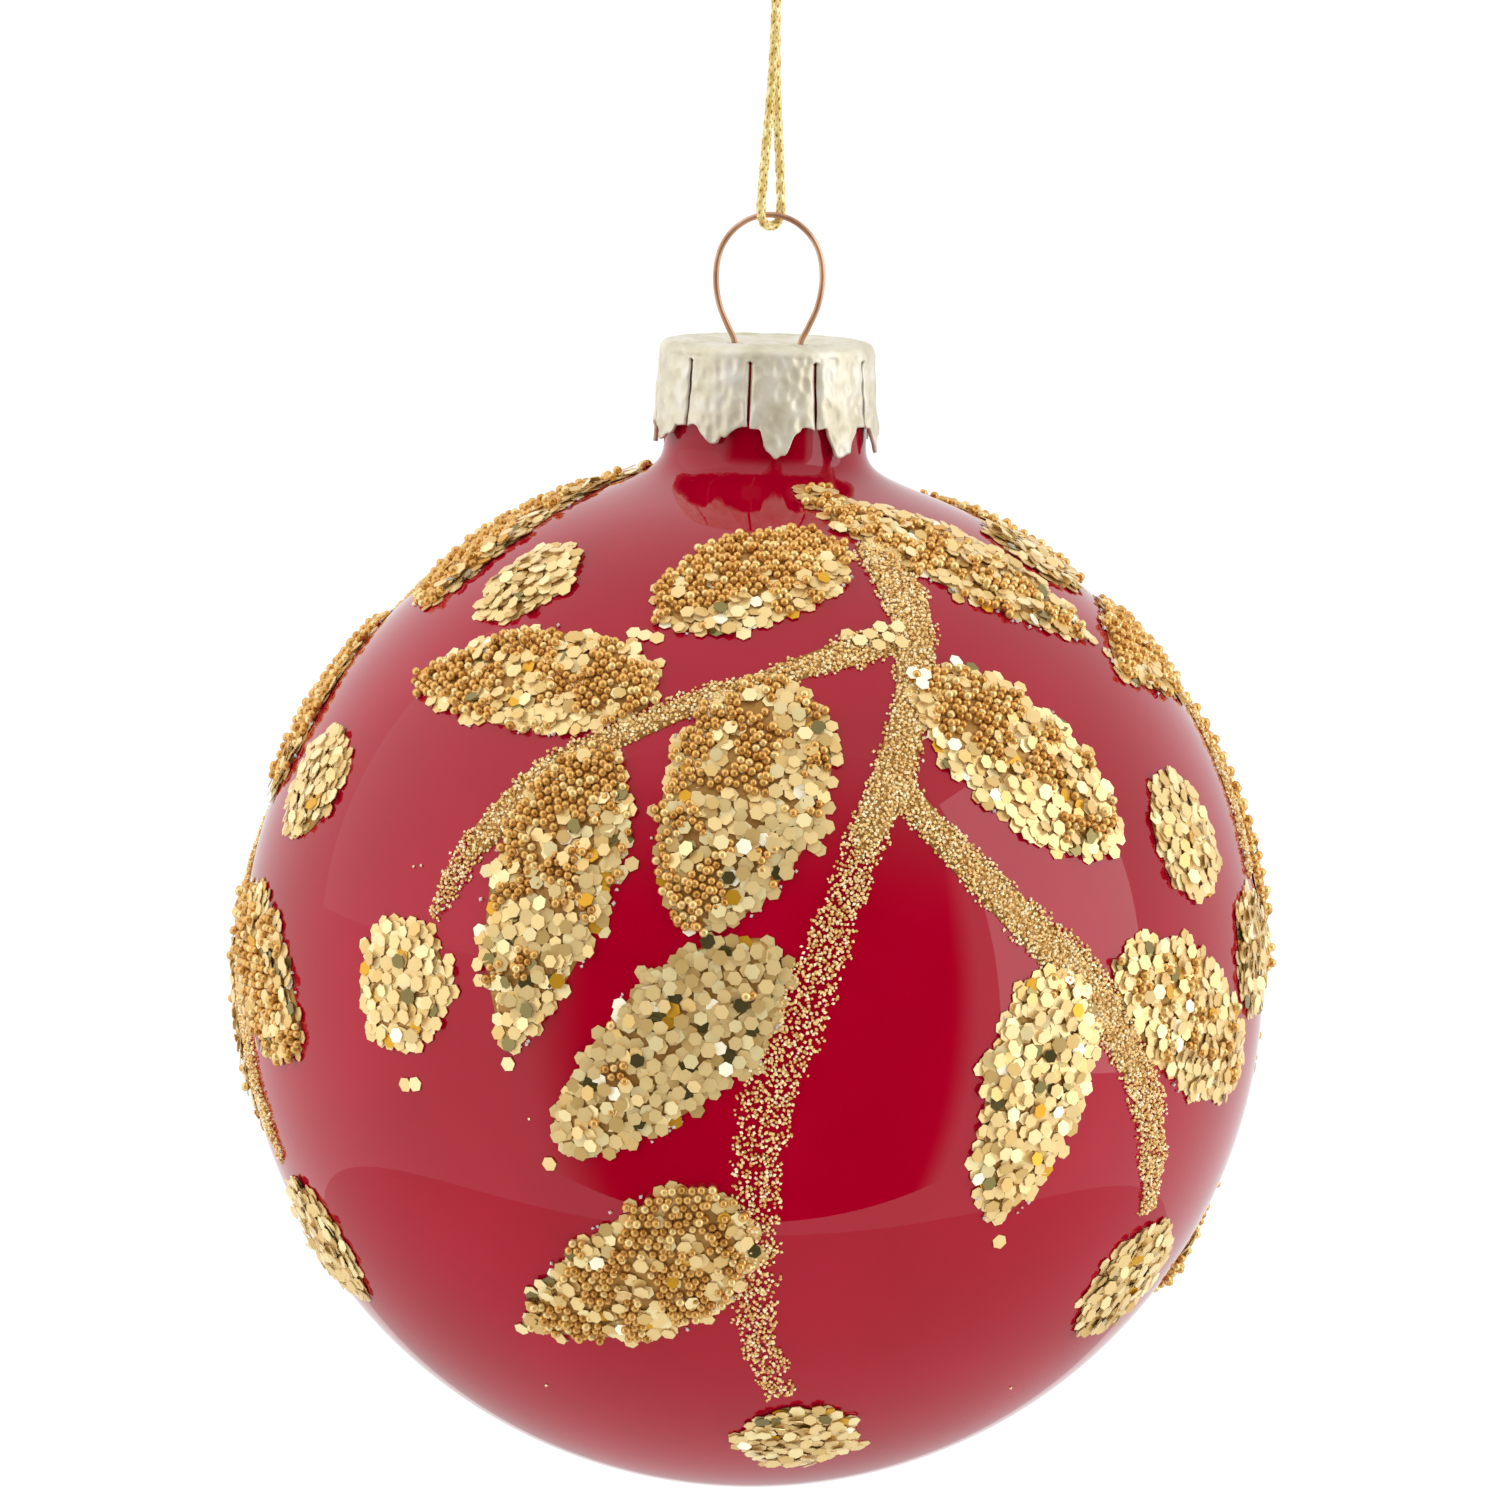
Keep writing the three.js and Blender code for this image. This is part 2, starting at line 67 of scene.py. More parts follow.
CAP_TOP = 49.8
CAP_THICKNESS = 0.3
CAP_RADIUS_TOP = 8.4
CAP_RADIUS_FOOT = 8.75
CAP_EDGE = 0.8
PANEL_DEPTH = 0.28
CAP_FOOT = 43.45
TAB_COUNT = 10
SLIT_ANGLE = 3
FIRST_SLIT = -9
TOOTH_DEPTHS = [2.3, 2.4, 2.0, 1.4, 1.2, 1.9, 1.4, 1.7, 1.3, 1.4]
TOOTH_MIDDLE = 0.41
TOOTH_LEFT = 0.25
TOOTH_RIGHT = 0.37
TOOTH_SHAPE = 1.6
TOOTH_SKEW = 0.12
TOOTH_RAGGED = 0.22
FOOT_WAVE = 0.3
FLARE = 0.55  # how strongly the skirt bends outwards below FLARE_START of its height
FLARE_START = 0.78
HAMMER_SKIRT = 0.17
HAMMER_TOP = 0.05
HAMMER_MIDDLE = 0.02
SLIT_ROLL = 0.2

WIRE_RADIUS = 0.23
HOLE_RADIUS = 0.7
LEG_X = 2.5

HANG_TO_RING = 23

HEX_ACROSS = 1.05
HEX_THICKNESS = 0.07
BEAD_RADIUS = 0.37
GRAIN_RADIUS = 0.17
BED_INSET = 0.7
BED_EDGE = 0.05
BED_HEIGHT = 0.3
BED_ROWS = 14
BED_COLUMNS = 9
BED_UNDERSIDE = 0.01

# ---- Camera ----


def new_object(name, data):
    """A new object, in the scene."""
    thing = bpy.data.objects.new(name, data)
    bpy.context.scene.collection.objects.link(thing)
    return thing


CAMERA_DISTANCE = 1200
CAMERA_ELEVATION = 6
CAMERA_ROLL = 1.45
CAMERA_PITCH = 0.8424
CAMERA_YAW = 0.0056
LENS = 368.06
SENSOR = 36


def make_camera():
    """Looks from a little above the ball's middle, with a long lens."""
    back = Vector((0, -math.cos(CAMERA_ELEVATION * DEG), math.sin(CAMERA_ELEVATION * DEG)))
    data = bpy.data.cameras.new("camera")
    data.lens = LENS
    data.sensor_width = SENSOR
    data.clip_start = 0.01
    data.clip_end = 100
    camera = new_object("camera", data)
    look = (-back).to_track_quat("-Z", "Y").to_matrix().to_4x4()
    turn = Matrix.Rotation(CAMERA_ROLL * DEG, 4, "Z")
    turn = turn @ Matrix.Rotation(CAMERA_PITCH * DEG, 4, "X")
    turn = turn @ Matrix.Rotation(CAMERA_YAW * DEG, 4, "Y")
    place = Vector((0, 0, BALL_Z * MM)) + back * CAMERA_DISTANCE * MM
    camera.matrix_world = Matrix.Translation(place) @ look @ turn
    bpy.context.scene.camera = camera


make_camera()

# ---- Materials ----


def linear(code):
    """The linear colour of an sRGB code such as #A0B0C0."""
    values = [int(code[i : i + 2], 16) / 255 for i in (1, 3, 5)]
    return [v / 12.92 if v <= 0.04045 else ((v + 0.055) / 1.055) ** 2.4 for v in values] + [1]


def principled(name, color, metallic, roughness, **more):
    """A material whose shader has these constant values."""
    material = bpy.data.materials.new(name)
    material.use_nodes = True
    shader = material.node_tree.nodes["Principled BSDF"]
    values = {"Base_Color": linear(color), "Metallic": metallic, "Roughness": roughness, **more}
    for key, value in values.items():
        shader.inputs[key.replace("_", " ")].default_value = value
    return material


def noise_node(material, scale, detail=3, stretch=(1, 1, 1)):
    """A noise texture in the piece's own coordinates, with features about 1/scale metres wide."""
    nodes, links = material.node_tree.nodes, material.node_tree.links
    place = nodes.new("ShaderNodeTexCoord")
    mapping = nodes.new("ShaderNodeMapping")
    mapping.inputs["Scale"].default_value = stretch
    texture = nodes.new("ShaderNodeTexNoise")
    texture.inputs["Scale"].default_value = scale
    texture.inputs["Detail"].default_value = detail
    links.new(place.outputs["Object"], mapping.inputs["Vector"])
    links.new(mapping.outputs["Vector"], texture.inputs["Vector"])
    return texture


def mottle(material, stops, scale, detail=3, stretch=(1, 1, 1)):
    """Base colour that varies softly between the stops, each (place, colour)."""
    nodes, links = material.node_tree.nodes, material.node_tree.links
    texture = noise_node(material, scale, detail, stretch)
    ramp = nodes.new("ShaderNodeValToRGB")
    while len(ramp.color_ramp.elements) < len(stops):
        ramp.color_ramp.elements.new(0.5)
    for element, (at, color) in zip(ramp.color_ramp.elements, stops):
        element.position = at
        element.color = linear(color)
    links.new(texture.outputs["Fac"], ramp.inputs["Fac"])
    links.new(ramp.outputs["Color"], nodes["Principled BSDF"].inputs["Base Color"])


def bumps(material, scale, strength, distance, detail=2, stretch=(1, 1, 1)):
    """Fine relief from noise, distance metres high."""
    nodes, links = material.node_tree.nodes, material.node_tree.links
    texture = noise_node(material, scale, detail, stretch)
    bump = nodes.new("ShaderNodeBump")
    bump.inputs["Strength"].default_value = strength
    bump.inputs["Distance"].default_value = distance
    links.new(texture.outputs["Fac"], bump.inputs["Height"])
    links.new(bump.outputs["Normal"], nodes["Principled BSDF"].inputs["Normal"])


def make_lacquer():
    coat = dict(Coat_Weight=1.0, Coat_Roughness=0.012, Coat_IOR=1.46, Specular_IOR_Level=0.0)
    material = principled("red_lacquer", "#99001F", 0.0, 0.4, **coat)
    stops = [(0.3, "#91001A"), (0.52, "#99001F"), (0.7, "#9F0224")]
    mottle(material, stops, 60, 4)
    return material


def make_cap_metal():
    material = principled("cap_metal", "#D6CFBA", 0.34, 0.42)
    mottle(material, [(0.3, "#C6BEA4"), (0.5, "#D7D0BA"), (0.7, "#E0DCD0")], 500, 4)
    bumps(material, 2500, 0.35, 0.00004)
    return material


def make_copper():
    material = principled("copper_wire", "#CCA082", 0.6, 0.3)
    mottle(material, [(0.3, "#AE7C5E"), (0.5, "#C69676"), (0.7, "#DEB090")], 350, 3)
    bumps(material, 1800, 0.25, 0.00002, 2, (1, 1, 0.2))
    return material


def make_thread():
    material = principled("gold_thread", "#E6CC84", 0.35, 0.4)
    mottle(material, [(0.3, "#C9A550"), (0.5, "#E6CC82"), (0.7, "#F8EBB2")], 1500, 2)
    bumps(material, 6000, 0.5, 0.00003)
    return material


def glitter_material(name, color, roughness, metallic):
    material = principled(name, color, metallic, roughness)
    if name.startswith("bead"):
        bumps(material, 9000, 0.1, 0.000004)
    else:
        bumps(material, 2200, 0.2, 0.00002)
    return material


LACQUER = make_lacquer()
CAP_METAL = make_cap_metal()
COPPER = make_copper()
THREAD = make_thread()
GLUE = principled("clear_glue", "#C9B9B4", 0.0, 0.12, Coat_Weight=0.5)
bumps(GLUE, 1500, 0.6, 0.0001)
# The glue under the glitter is clear; its bed is coloured amber-brown as painted shade in the gaps
# between flakes and grains.
GLUE_BED_SHADE = principled("glue_bed_painted_shade", "#A87A38", 0.4, 0.35)
bumps(GLUE_BED_SHADE, 2500, 0.8, 0.0001)

# Flakes, beads and grains each come in a few tones. A face's material index picks one.
# Each row: name, colour, roughness, metallic, share.
HEX_TONES = [
    ("hex_gold", "#ECCE8E", 0.25, 0.36, 0.55),
    ("hex_pale", "#F5E2A8", 0.2, 0.34, 0.2),
    ("hex_deep", "#DEBA74", 0.28, 0.45, 0.17),
    ("hex_dark", "#8E8150", 0.15, 0.8, 0.03),
    # The near-white flakes are painted glints: flakes coloured near-white for light caught by tilted
    # flakes.
    ("hex_painted_glint", "#FFF8DC", 0.16, 0.1, 0.016),
    ("hex_yellow", "#DDA324", 0.25, 0.5, 0.02),
]
BEAD_TONES = [
    ("bead_gold", "#EBB766", 0.24, 0.62, 0.6),
    ("bead_pale", "#FBD992", 0.2, 0.55, 0.22),
    ("bead_deep", "#D69C4C", 0.25, 0.7, 0.18),
]
GRAIN_TONES = [
    ("grain_gold", "#F2D08A", 0.34, 0.2, 0.5),
    ("grain_pale", "#FBEBBE", 0.28, 0.16, 0.3),
    ("grain_deep", "#DDAC60", 0.34, 0.3, 0.2),
]
GLITTER_LOOKS = [glitter_material(*tone[:4]) for tone in HEX_TONES + BEAD_TONES + GRAIN_TONES]
GLITTER_LOOKS += [GLUE_BED_SHADE, GLUE]
HEX_FIRST = 0
BEAD_FIRST = len(HEX_TONES)
GRAIN_FIRST = BEAD_FIRST + len(BEAD_TONES)
BED_SHADE_INDEX = GRAIN_FIRST + len(GRAIN_TONES)
GLUE_INDEX = BED_SHADE_INDEX + 1

# ---- Meshes ----


class Chunks:
    """Vertices and faces gathered from many small shapes, in millimetres, then made into one mesh."""

    def __init__(self):
        self.points = []
        self.sizes = []
        self.loops = []
        self.tones = []
        self.smooth = []
        self.count = 0

    def add(self, points, faces, tone=0, smooth=True):
        """One shape. faces is a list of index tuples; tone is a number or one number a face."""
        points = np.asarray(points, float)
        self.sizes.append(np.array([len(f) for f in faces], np.int32))
        self.loops.append(np.concatenate([np.array(f, np.int32) for f in faces]) + self.count)
        self.tones.append(np.broadcast_to(np.asarray(tone, np.int32), len(faces)))
        self.smooth.append(np.full(len(faces), smooth))
        self.points.append(points)
        self.count += len(points)

    def add_copies(self, template, centres, frames, tones, smooth):
        """Copies of a template (points, faces), each turned by its frame and moved to its centre."""
        if not len(centres):
            return
        points, faces = template
        placed = np.einsum("nij,vj->nvi", frames, points) + np.asarray(centres)[:, None, :]
        sizes = np.array([len(f) for f in faces], np.int32)
        loops = np.concatenate([np.array(f, np.int32) for f in faces])
        starts = self.count + np.arange(len(centres))[:, None] * len(points)
        self.points.append(placed.reshape(-1, 3))
        self.sizes.append(np.tile(sizes, len(centres)))
        self.loops.append((loops[None, :] + starts).ravel().astype(np.int32))
        self.tones.append(np.repeat(np.asarray(tones, np.int32), len(faces)))
        self.smooth.append(np.full(len(centres) * len(faces), smooth))
        self.count += len(centres) * len(points)

    def piece(self, name, materials, body, slot, nodes=()):
        """The finished piece, riding on its body and standing for its CAD nodes."""
        mesh = bpy.data.meshes.new(name)
        points = np.concatenate(self.points) * MM
        sizes = np.concatenate(self.sizes)
        loops = np.concatenate(self.loops)
        mesh.vertices.add(len(points))
        mesh.vertices.foreach_set("co", points.astype(np.float32).ravel())
        mesh.loops.add(len(loops))
        mesh.loops.foreach_set("vertex_index", loops)
        mesh.polygons.add(len(sizes))
        starts = np.concatenate([[0], np.cumsum(sizes)[:-1]]).astype(np.int32)
        mesh.polygons.foreach_set("loop_start", starts)
        for material in materials:
            mesh.materials.append(material)
        mesh.polygons.foreach_set("material_index", np.concatenate(self.tones).astype(np.int32))
        mesh.polygons.foreach_set("use_smooth", np.concatenate(self.smooth))
        mesh.update(calc_edges=True)
        mesh.validate()
        thing = new_object(name, mesh)
        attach(thing, body)
        if nodes:
            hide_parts(*nodes)
        return thing


def unit(rows):
    """Rows of vectors, each made one long."""
    return rows / np.linalg.norm(rows, axis=1)[:, None]


def blend(low, high, start, end, x):
    """The point at x on the line that is low at start and high at end."""
    return low * ((end - x) / (end - start)) + high * ((x - start) / (end - start))


def catmull(points, per_span):
    """Points on the centripetal Catmull-Rom curve through the given points."""
    points = [np.asarray(p, float) for p in points]
    ends = [2 * points[0] - points[1]], [2 * points[-1] - points[-2]]
    row = ends[0] + points + ends[1]
    out = []
    for i in range(len(points) - 1):
        p = row[i : i + 4]
        t = [0.0]
        for a, b in zip(p, p[1:]):
            t.append(t[-1] + max(np.linalg.norm(b - a), 1e-6) ** 0.5)
        for k in range(per_span):
            x = t[1] + (t[2] - t[1]) * k / per_span
            a = [blend(p[j], p[j + 1], t[j], t[j + 1], x) for j in range(3)]
            b = [blend(a[j], a[j + 1], t[j], t[j + 2], x) for j in range(2)]
            out.append(blend(b[0], b[1], t[1], t[2], x))
    out.append(points[-1])
    return np.array(out)


def spaced(points, step):
    """The same line with its points a step apart."""
    lengths = np.concatenate([[0], np.cumsum(np.linalg.norm(np.diff(points, axis=0), axis=1))])
    count = max(2, int(round(lengths[-1] / step)) + 1)
    at = np.linspace(0, lengths[-1], count)
    return np.stack([np.interp(at, lengths, points[:, k]) for k in range(3)], axis=1)


def line_frames(points):
    """Tangents and two side directions along a line, carried along without twist."""
    tangents = unit(np.gradient(points, axis=0))
    side = np.cross(tangents[0], [0.3, 0.9, 0.2])
    side /= np.linalg.norm(side)
    sides = []
    for t in tangents:
        side = side - t * side.dot(t)
        side /= np.linalg.norm(side)
        sides.append(side)
    sides = np.array(sides)
    return tangents, sides, np.cross(tangents, sides)


def bar_faces(count, sides, turned=False):
    """Walls and ends of a closed bar of count rows of sides points, or the same turned over."""
    faces = []
    for i in range(count - 1):
        for j in range(sides):
            here, after = i * sides + j, i * sides + (j + 1) % sides
            wall = (here, after, after + sides, here + sides)
            faces.append((wall[0], *wall[:0:-1]) if turned else wall)
    ends = [tuple(reversed(range(sides))), tuple(range((count - 1) * sides, count * sides))]
    return faces + [end[::-1] if turned else end for end in ends]


def add_tube(chunks, points, radii, sides, tone=0):
    """A closed round bar along points, with one radius a point."""
    _, side, other = line_frames(points)
    angles = np.arange(sides) * 2 * math.pi / sides
    ring = np.cos(angles)[None, :, None] * side[:, None, :]
    ring = ring + np.sin(angles)[None, :, None] * other[:, None, :]
    body = (points[:, None, :] + ring * np.asarray(radii)[:, None, None]).reshape(-1, 3)
    chunks.add(body, bar_faces(len(points), sides), tone)


def add_lathe(chunks, profile, steps, tone=0):
    """A surface of revolution about Z from (radius, height) points; points on the axis close it."""
    points, rows, faces = [], [], []
    for r, z in profile:
        if r < 1e-6:
            rows.append([len(points)] * steps)
            points.append((0, 0, z))
            continue
        rows.append([len(points) + k for k in range(steps)])
        for k in range(steps):
            a = 2 * math.pi * k / steps
            points.append((r * math.cos(a), r * math.sin(a), z))
    for low, high in zip(rows, rows[1:]):
        for k in range(steps):
            m = (k + 1) % steps
            faces.append(tuple(dict.fromkeys([low[k], low[m], high[m], high[k]])))
    chunks.add(points, faces, tone)


# ---- Glass ball ----


def wall_points(radius, neck, steps, bend_steps):
    """The wall's outline from the bottom pole up to the foot of the neck, above the ball's centre."""
    points = []
    for i in range(steps + 1):
        angle = (180 - i / steps * (180 - SHOULDER_ANGLE)) * DEG
        points.append((radius * math.sin(angle), radius * math.cos(angle)))
    points[0] = (0, -radius)
    r, z = points[-1]
    reach = 0.65 * (r - neck)
    corners = [
        (r, z),
        (r - reach, z + reach * math.tan(SHOULDER_ANGLE * DEG)),
        (neck, NECK_FOOT - 2.2),
        (neck, NECK_FOOT),
    ]
    for i in range(1, bend_steps + 1):
        t = i / bend_steps
        weights = [(1 - t) ** 3, 3 * t * (1 - t) ** 2, 3 * t * t * (1 - t), t**3]
        points.append(tuple(sum(w * c[k] for w, c in zip(weights, corners)) for k in range(2)))
    return points


OUTSIDE = wall_points(BALL_RADIUS, NECK_RADIUS, 90, 16)


def glass_reach(ways):
    """How far the glass's outside stands from the ball's centre in each direction."""
    angles = np.array([math.atan2(r, z) for r, z in OUTSIDE])[::-1]
    reaches = np.array([math.hypot(r, z) for r, z in OUTSIDE])[::-1]
    polar = np.arccos(np.clip(ways[:, 2], -1, 1))
    return np.interp(polar, angles, reaches)


def make_ball():
    inside = wall_points(BALL_RADIUS - GLASS_THICKNESS, NECK_BORE, 40, 10)
    middle = (NECK_RADIUS + NECK_BORE) / 2
    lip = [
        (middle + NECK_LIP * math.sin(a * DEG), NECK_TOP - NECK_LIP + NECK_LIP * math.cos(a * DEG))
        for a in range(90, -91, -20)
    ]
    profile = OUTSIDE + [(NECK_RADIUS, NECK_FOOT + 3)] + lip
    profile += [(NECK_BORE, NECK_FOOT + 3)] + inside[::-1]
    chunks = Chunks()
    add_lathe(chunks, [(r, z + BALL_Z) for r, z in profile], 160)
    chunks.piece("ball_glass", [LACQUER], "ball", "red_glass", ["glass_ball"])


# ---- Cap ----


def hammered(x, y, z, depth):
    """How far hammer marks sink the metal at a point: wide dimples with ridges between them."""
    near = noise.voronoi(Vector((x / 0.75, y / 0.75, z / 1.25)))[0]
    soft = noise.noise(Vector((x / 1.7, y / 1.7, z / 2.2)))
    return depth * (1 - min(1, near[0] / 0.62) ** 2) + depth * 0.8 * soft


def cap_outline():
    """Rows of the cap from the middle of its top to just above the slits, as [radius, height]."""
    middle = ((0.25, 0.25), (0.9, 0.25), (1.3, 0.2), (1.6, 0.03))
    rows = [(r, CAP_TOP - PANEL_DEPTH + rise) for r, rise in middle]
    for i in range(15):
        r = 1.9 + 0.33 * i
        rise = min(1, max(0, (r - 4.6) / 1.2))
        rows.append((r, CAP_TOP - PANEL_DEPTH * (1 - rise * rise * (3 - 2 * rise))))
    ridge = ((6.75, 0.03), (6.95, 0.13), (7.15, 0.13), (7.35, 0.03))
    rows += [(r, CAP_TOP + rise) for r, rise in ridge]
    for i in range(7):
        a = i * 15 * DEG
        centre = CAP_RADIUS_TOP - CAP_EDGE
        rows.append((centre + CAP_EDGE * math.sin(a), CAP_TOP - CAP_EDGE + CAP_EDGE * math.cos(a)))
    return rows


def tab_foot(tab, share):
    """Height of the skirt's lower edge at a share of a tab's width, with its tooth and waves."""
    depth = TOOTH_DEPTHS[tab]
    off = share - TOOTH_MIDDLE - TOOTH_SKEW * noise.noise(Vector((tab * 1.7, 0.3, 0.9)))
    off /= TOOTH_LEFT if off < 0 else TOOTH_RIGHT
    tooth = depth * max(0, 1 - abs(off) ** TOOTH_SHAPE)
    tooth += TOOTH_RAGGED * depth * noise.noise(Vector((tab * 2.3, share * 9, 4.4))) * (tooth > 0)
    return CAP_FOOT - tooth - FOOT_WAVE * noise.noise(Vector((tab * 3.1, share * 5, 0.5)))


def make_cap():
    columns = 30
    skirt_rows = 34
    start = CAP_TOP - CAP_EDGE
    slit_top = start - 0.35
    top = cap_outline()
    rows_above = len(top) + 3
    points, grid = [], []
    span = 360 / TAB_COUNT
    for tab in range(TAB_COUNT):
        for c in range(columns + 1):
            share = c / columns
            foot = tab_foot(tab, share)
            column = []
            for row in range(rows_above + skirt_rows):
                if row < len(top):
                    r, z = top[row]
                    gap = 0
                else:
                    if row < rows_above:
                        z = start - (start - slit_top) * (row - len(top) + 1) / 3
                        gap = 0
                    else:
                        down = (row - rows_above + 1) / skirt_rows
                        z = slit_top + (foot - slit_top) * down
                        gap = SLIT_ANGLE * (0.2 + 0.06 * down)
                        if row == rows_above:
                            gap = SLIT_ANGLE * 0.34
                    low = max(z, CAP_FOOT)
                    spread = (CAP_RADIUS_FOOT - CAP_RADIUS_TOP) * (start - low) / (start - CAP_FOOT)
                    r = CAP_RADIUS_TOP + spread
                    r += FLARE * max(0, (start - z) / (start - CAP_FOOT) - FLARE_START) ** 2
                closed = SLIT_ANGLE * 0.12
                edge = gap if row >= rows_above else closed
                angle = (FIRST_SLIT + tab * span + edge + share * (span - 2 * edge)) * DEG
                x, y = r * math.sin(angle), -r * math.cos(angle)
                depth = HAMMER_SKIRT if row >= len(top) else HAMMER_TOP if r > 1.8 else HAMMER_MIDDLE
                if row >= rows_above:
                    rim = max(0, 1 - min(share, 1 - share) / 0.07)
                    depth *= 1 - 0.6 * rim
                    roll = SLIT_ROLL * rim * rim * max(0, 1 - max(0, (slit_top - z) / 4.5 - 0.4))
                else:
                    roll = 0
                sink = hammered(x, y, z, depth) + roll
                if row < len(top) - 5:
                    z -= sink
                else:
                    x, y = x * (1 - sink / r), y * (1 - sink / r)
                column.append(len(points))
                points.append((x, y, z + BALL_Z))
            grid.append(column)
    faces = []
    total = len(grid)
    for k in range(total):
        here, after = grid[k], grid[(k + 1) % total]
        between = k % (columns + 1) == columns
        for row in range(len(here) - 1):
            if between and row >= rows_above - 1:
                break
            faces.append((here[row], here[row + 1], after[row + 1], after[row]))
    faces.append(tuple(column[0] for column in grid))
    chunks = Chunks()
    chunks.add(points, faces)
    cap = chunks.piece("cap_shell", [CAP_METAL], "cap", "cap_metal", ["cap"])
    solidify = cap.modifiers.new("thickness", "SOLIDIFY")
    solidify.thickness = CAP_THICKNESS * MM
    solidify.offset = -1
    for side in (-1, 1):
        drill = Chunks()
        column = np.array([(side * LEG_X, 0, CAP_TOP + BALL_Z + h) for h in (-2, 0, 2)])
        add_tube(drill, column, [HOLE_RADIUS] * 3, 24)
        tool = drill.piece(f"drill_{side + 1}", [CAP_METAL], "cap", "cap_metal")
        cut = cap.modifiers.new(f"hole_{side + 1}", "BOOLEAN")
        cut.object = tool
        cut.operation = "DIFFERENCE"
        cut.solver = "EXACT"
    apply_modifiers(cap)
    for side in (-1, 1):
        bpy.data.objects.remove(bpy.data.objects[f"drill_{side + 1}"])


def apply_modifiers(thing):
    """Replaces a piece's mesh by what its modifiers make of it."""
    bpy.context.view_layer.update()
    graph = bpy.context.evaluated_depsgraph_get()
    mesh = bpy.data.meshes.new_from_object(thing.evaluated_get(graph), depsgraph=graph)
    thing.modifiers.clear()
    thing.data = mesh


# ---- Wire hanger ----

# Half of the wire's centre line, [x, z above the ball's centre], from a leg's end up to the ring's top.
WIRE_HALF = [
    (6.2, 34), (6.1, 36.6), (5.2, 39.6), (3.6, 42.8), (2.6, 44.8), (LEG_X, 46.2), (LEG_X, 47.6),
    (LEG_X, 48.9), (2.62, 49.8), (3.15, 50.9), (3.85, 52.6), (4.15, 54.75), (3.85, 56.75),
    (3, 58.2), (1.6, 59.25),
]
RING_TOP = 59.6


def make_wire():
    left = [(-x, 0, z + BALL_Z) for x, z in WIRE_HALF]
    right = [(x, 0, z + BALL_Z) for x, z in reversed(WIRE_HALF)]
    line = spaced(catmull(left + [(0, 0, RING_TOP + BALL_Z)] + right, 12), 0.3)
    radii = np.full(len(line), WIRE_RADIUS)
    radii[0] = radii[-1] = WIRE_RADIUS * 0.6
    chunks = Chunks()
    add_tube(chunks, line, radii, 16)
    chunks.piece("ring_wire", [COPPER], "hanger", "copper_wire", ["hanger_wire"])


# ---- Cord and knot ----

# Half of the cord's centre line above its turn round the wire: offset, degrees round, height.
STRAND = [
    (1.1, 46, 0.9), (1.02, 48, 2.4), (0.92, 52, 4.4), (0.78, 58, 6.6), (0.62, 66, 9),
    (0.48, 76, 11.6), (0.42, 84, 14.4), (0.42, 90, 17.4), (0.42, 90, 20.2),
]
STRAND_END = 21.2
BIGHT_RADIUS = 1.1
BIGHT_RISE = 0.2
BIGHT_TURN = 46
BRAID_CARRIERS = 4
BRAID_PITCH = 3.3
BRAID_RADIUS = 0.28
BRAID_THREAD = 0.15
BRAID_WEAVE = 0.05


def strand_point(offset, turn, height, side):
    x = side * offset * math.cos(turn * DEG)
    y = side * offset * math.sin(turn * DEG)
    return (x, y, height - HANG_TO_RING)


def add_braid(chunks, line, step=0.2):
    """A braid along a line: flat threads that wind both ways, over and under each other."""
    line = spaced(line, step)
    _, side, other = line_frames(line)
    along = np.arange(len(line)) * step
    add_tube(chunks, line, np.full(len(line), BRAID_RADIUS - 0.06), 8, 1)
    for way in (-1, 1):
        for k in range(BRAID_CARRIERS):
            turn = way * 2 * math.pi * along / BRAID_PITCH + 2 * math.pi * k / BRAID_CARRIERS
            weave = np.sin(2 * math.pi * along / BRAID_PITCH * BRAID_CARRIERS + math.pi * (k % 2))
            reach = BRAID_RADIUS + way * BRAID_WEAVE * weave
            out = np.cos(turn)[:, None] * side + np.sin(turn)[:, None] * other
            thread = line + out * reach[:, None]
            add_ribbon(chunks, thread, out, BRAID_THREAD)


def add_ribbon(chunks, points, out, half):
    """A soft flat thread along points, with its flat side facing out."""
    tangents = unit(np.gradient(points, axis=0))
    across = unit(np.cross(tangents, out))
    section = [(1, 0), (0.6, 0.5), (-0.6, 0.5), (-1, 0), (-0.6, -0.5), (0.6, -0.5)]
    ring = np.stack([half * a * across + half * 0.8 * b * out for a, b in section], axis=1)
    body = (points[:, None, :] + ring).reshape(-1, 3)
    chunks.add(body, bar_faces(len(points), len(section), True))


def make_cord():
    down = [strand_point(*row, -1) for row in STRAND][::-1]
    up = [strand_point(*row, 1) for row in STRAND]
    turn = []
    for a in (180, 150, 120, 90, 60, 30, 0):
        rise = BIGHT_RISE - BIGHT_RADIUS * math.sin(a * DEG)
        turn.append(strand_point(BIGHT_RADIUS * math.cos(a * DEG), BIGHT_TURN, rise, 1))
    first = strand_point(0.42, 90, STRAND_END, -1)
    last = strand_point(0.42, 90, STRAND_END, 1)
    line = catmull([first, *down, *turn, *up, last], 10)
    chunks = Chunks()
    add_braid(chunks, line)
    cord = chunks.piece("hanging_cord", [THREAD, THREAD], "cord", "gold_thread", ["cord_loop"])
    knot = make_knot()
    route = [[c * MM for c in p] for p in spaced(line, 1.5)]
    length = sum(math.dist(a, b) for a, b in zip(route, route[1:]))


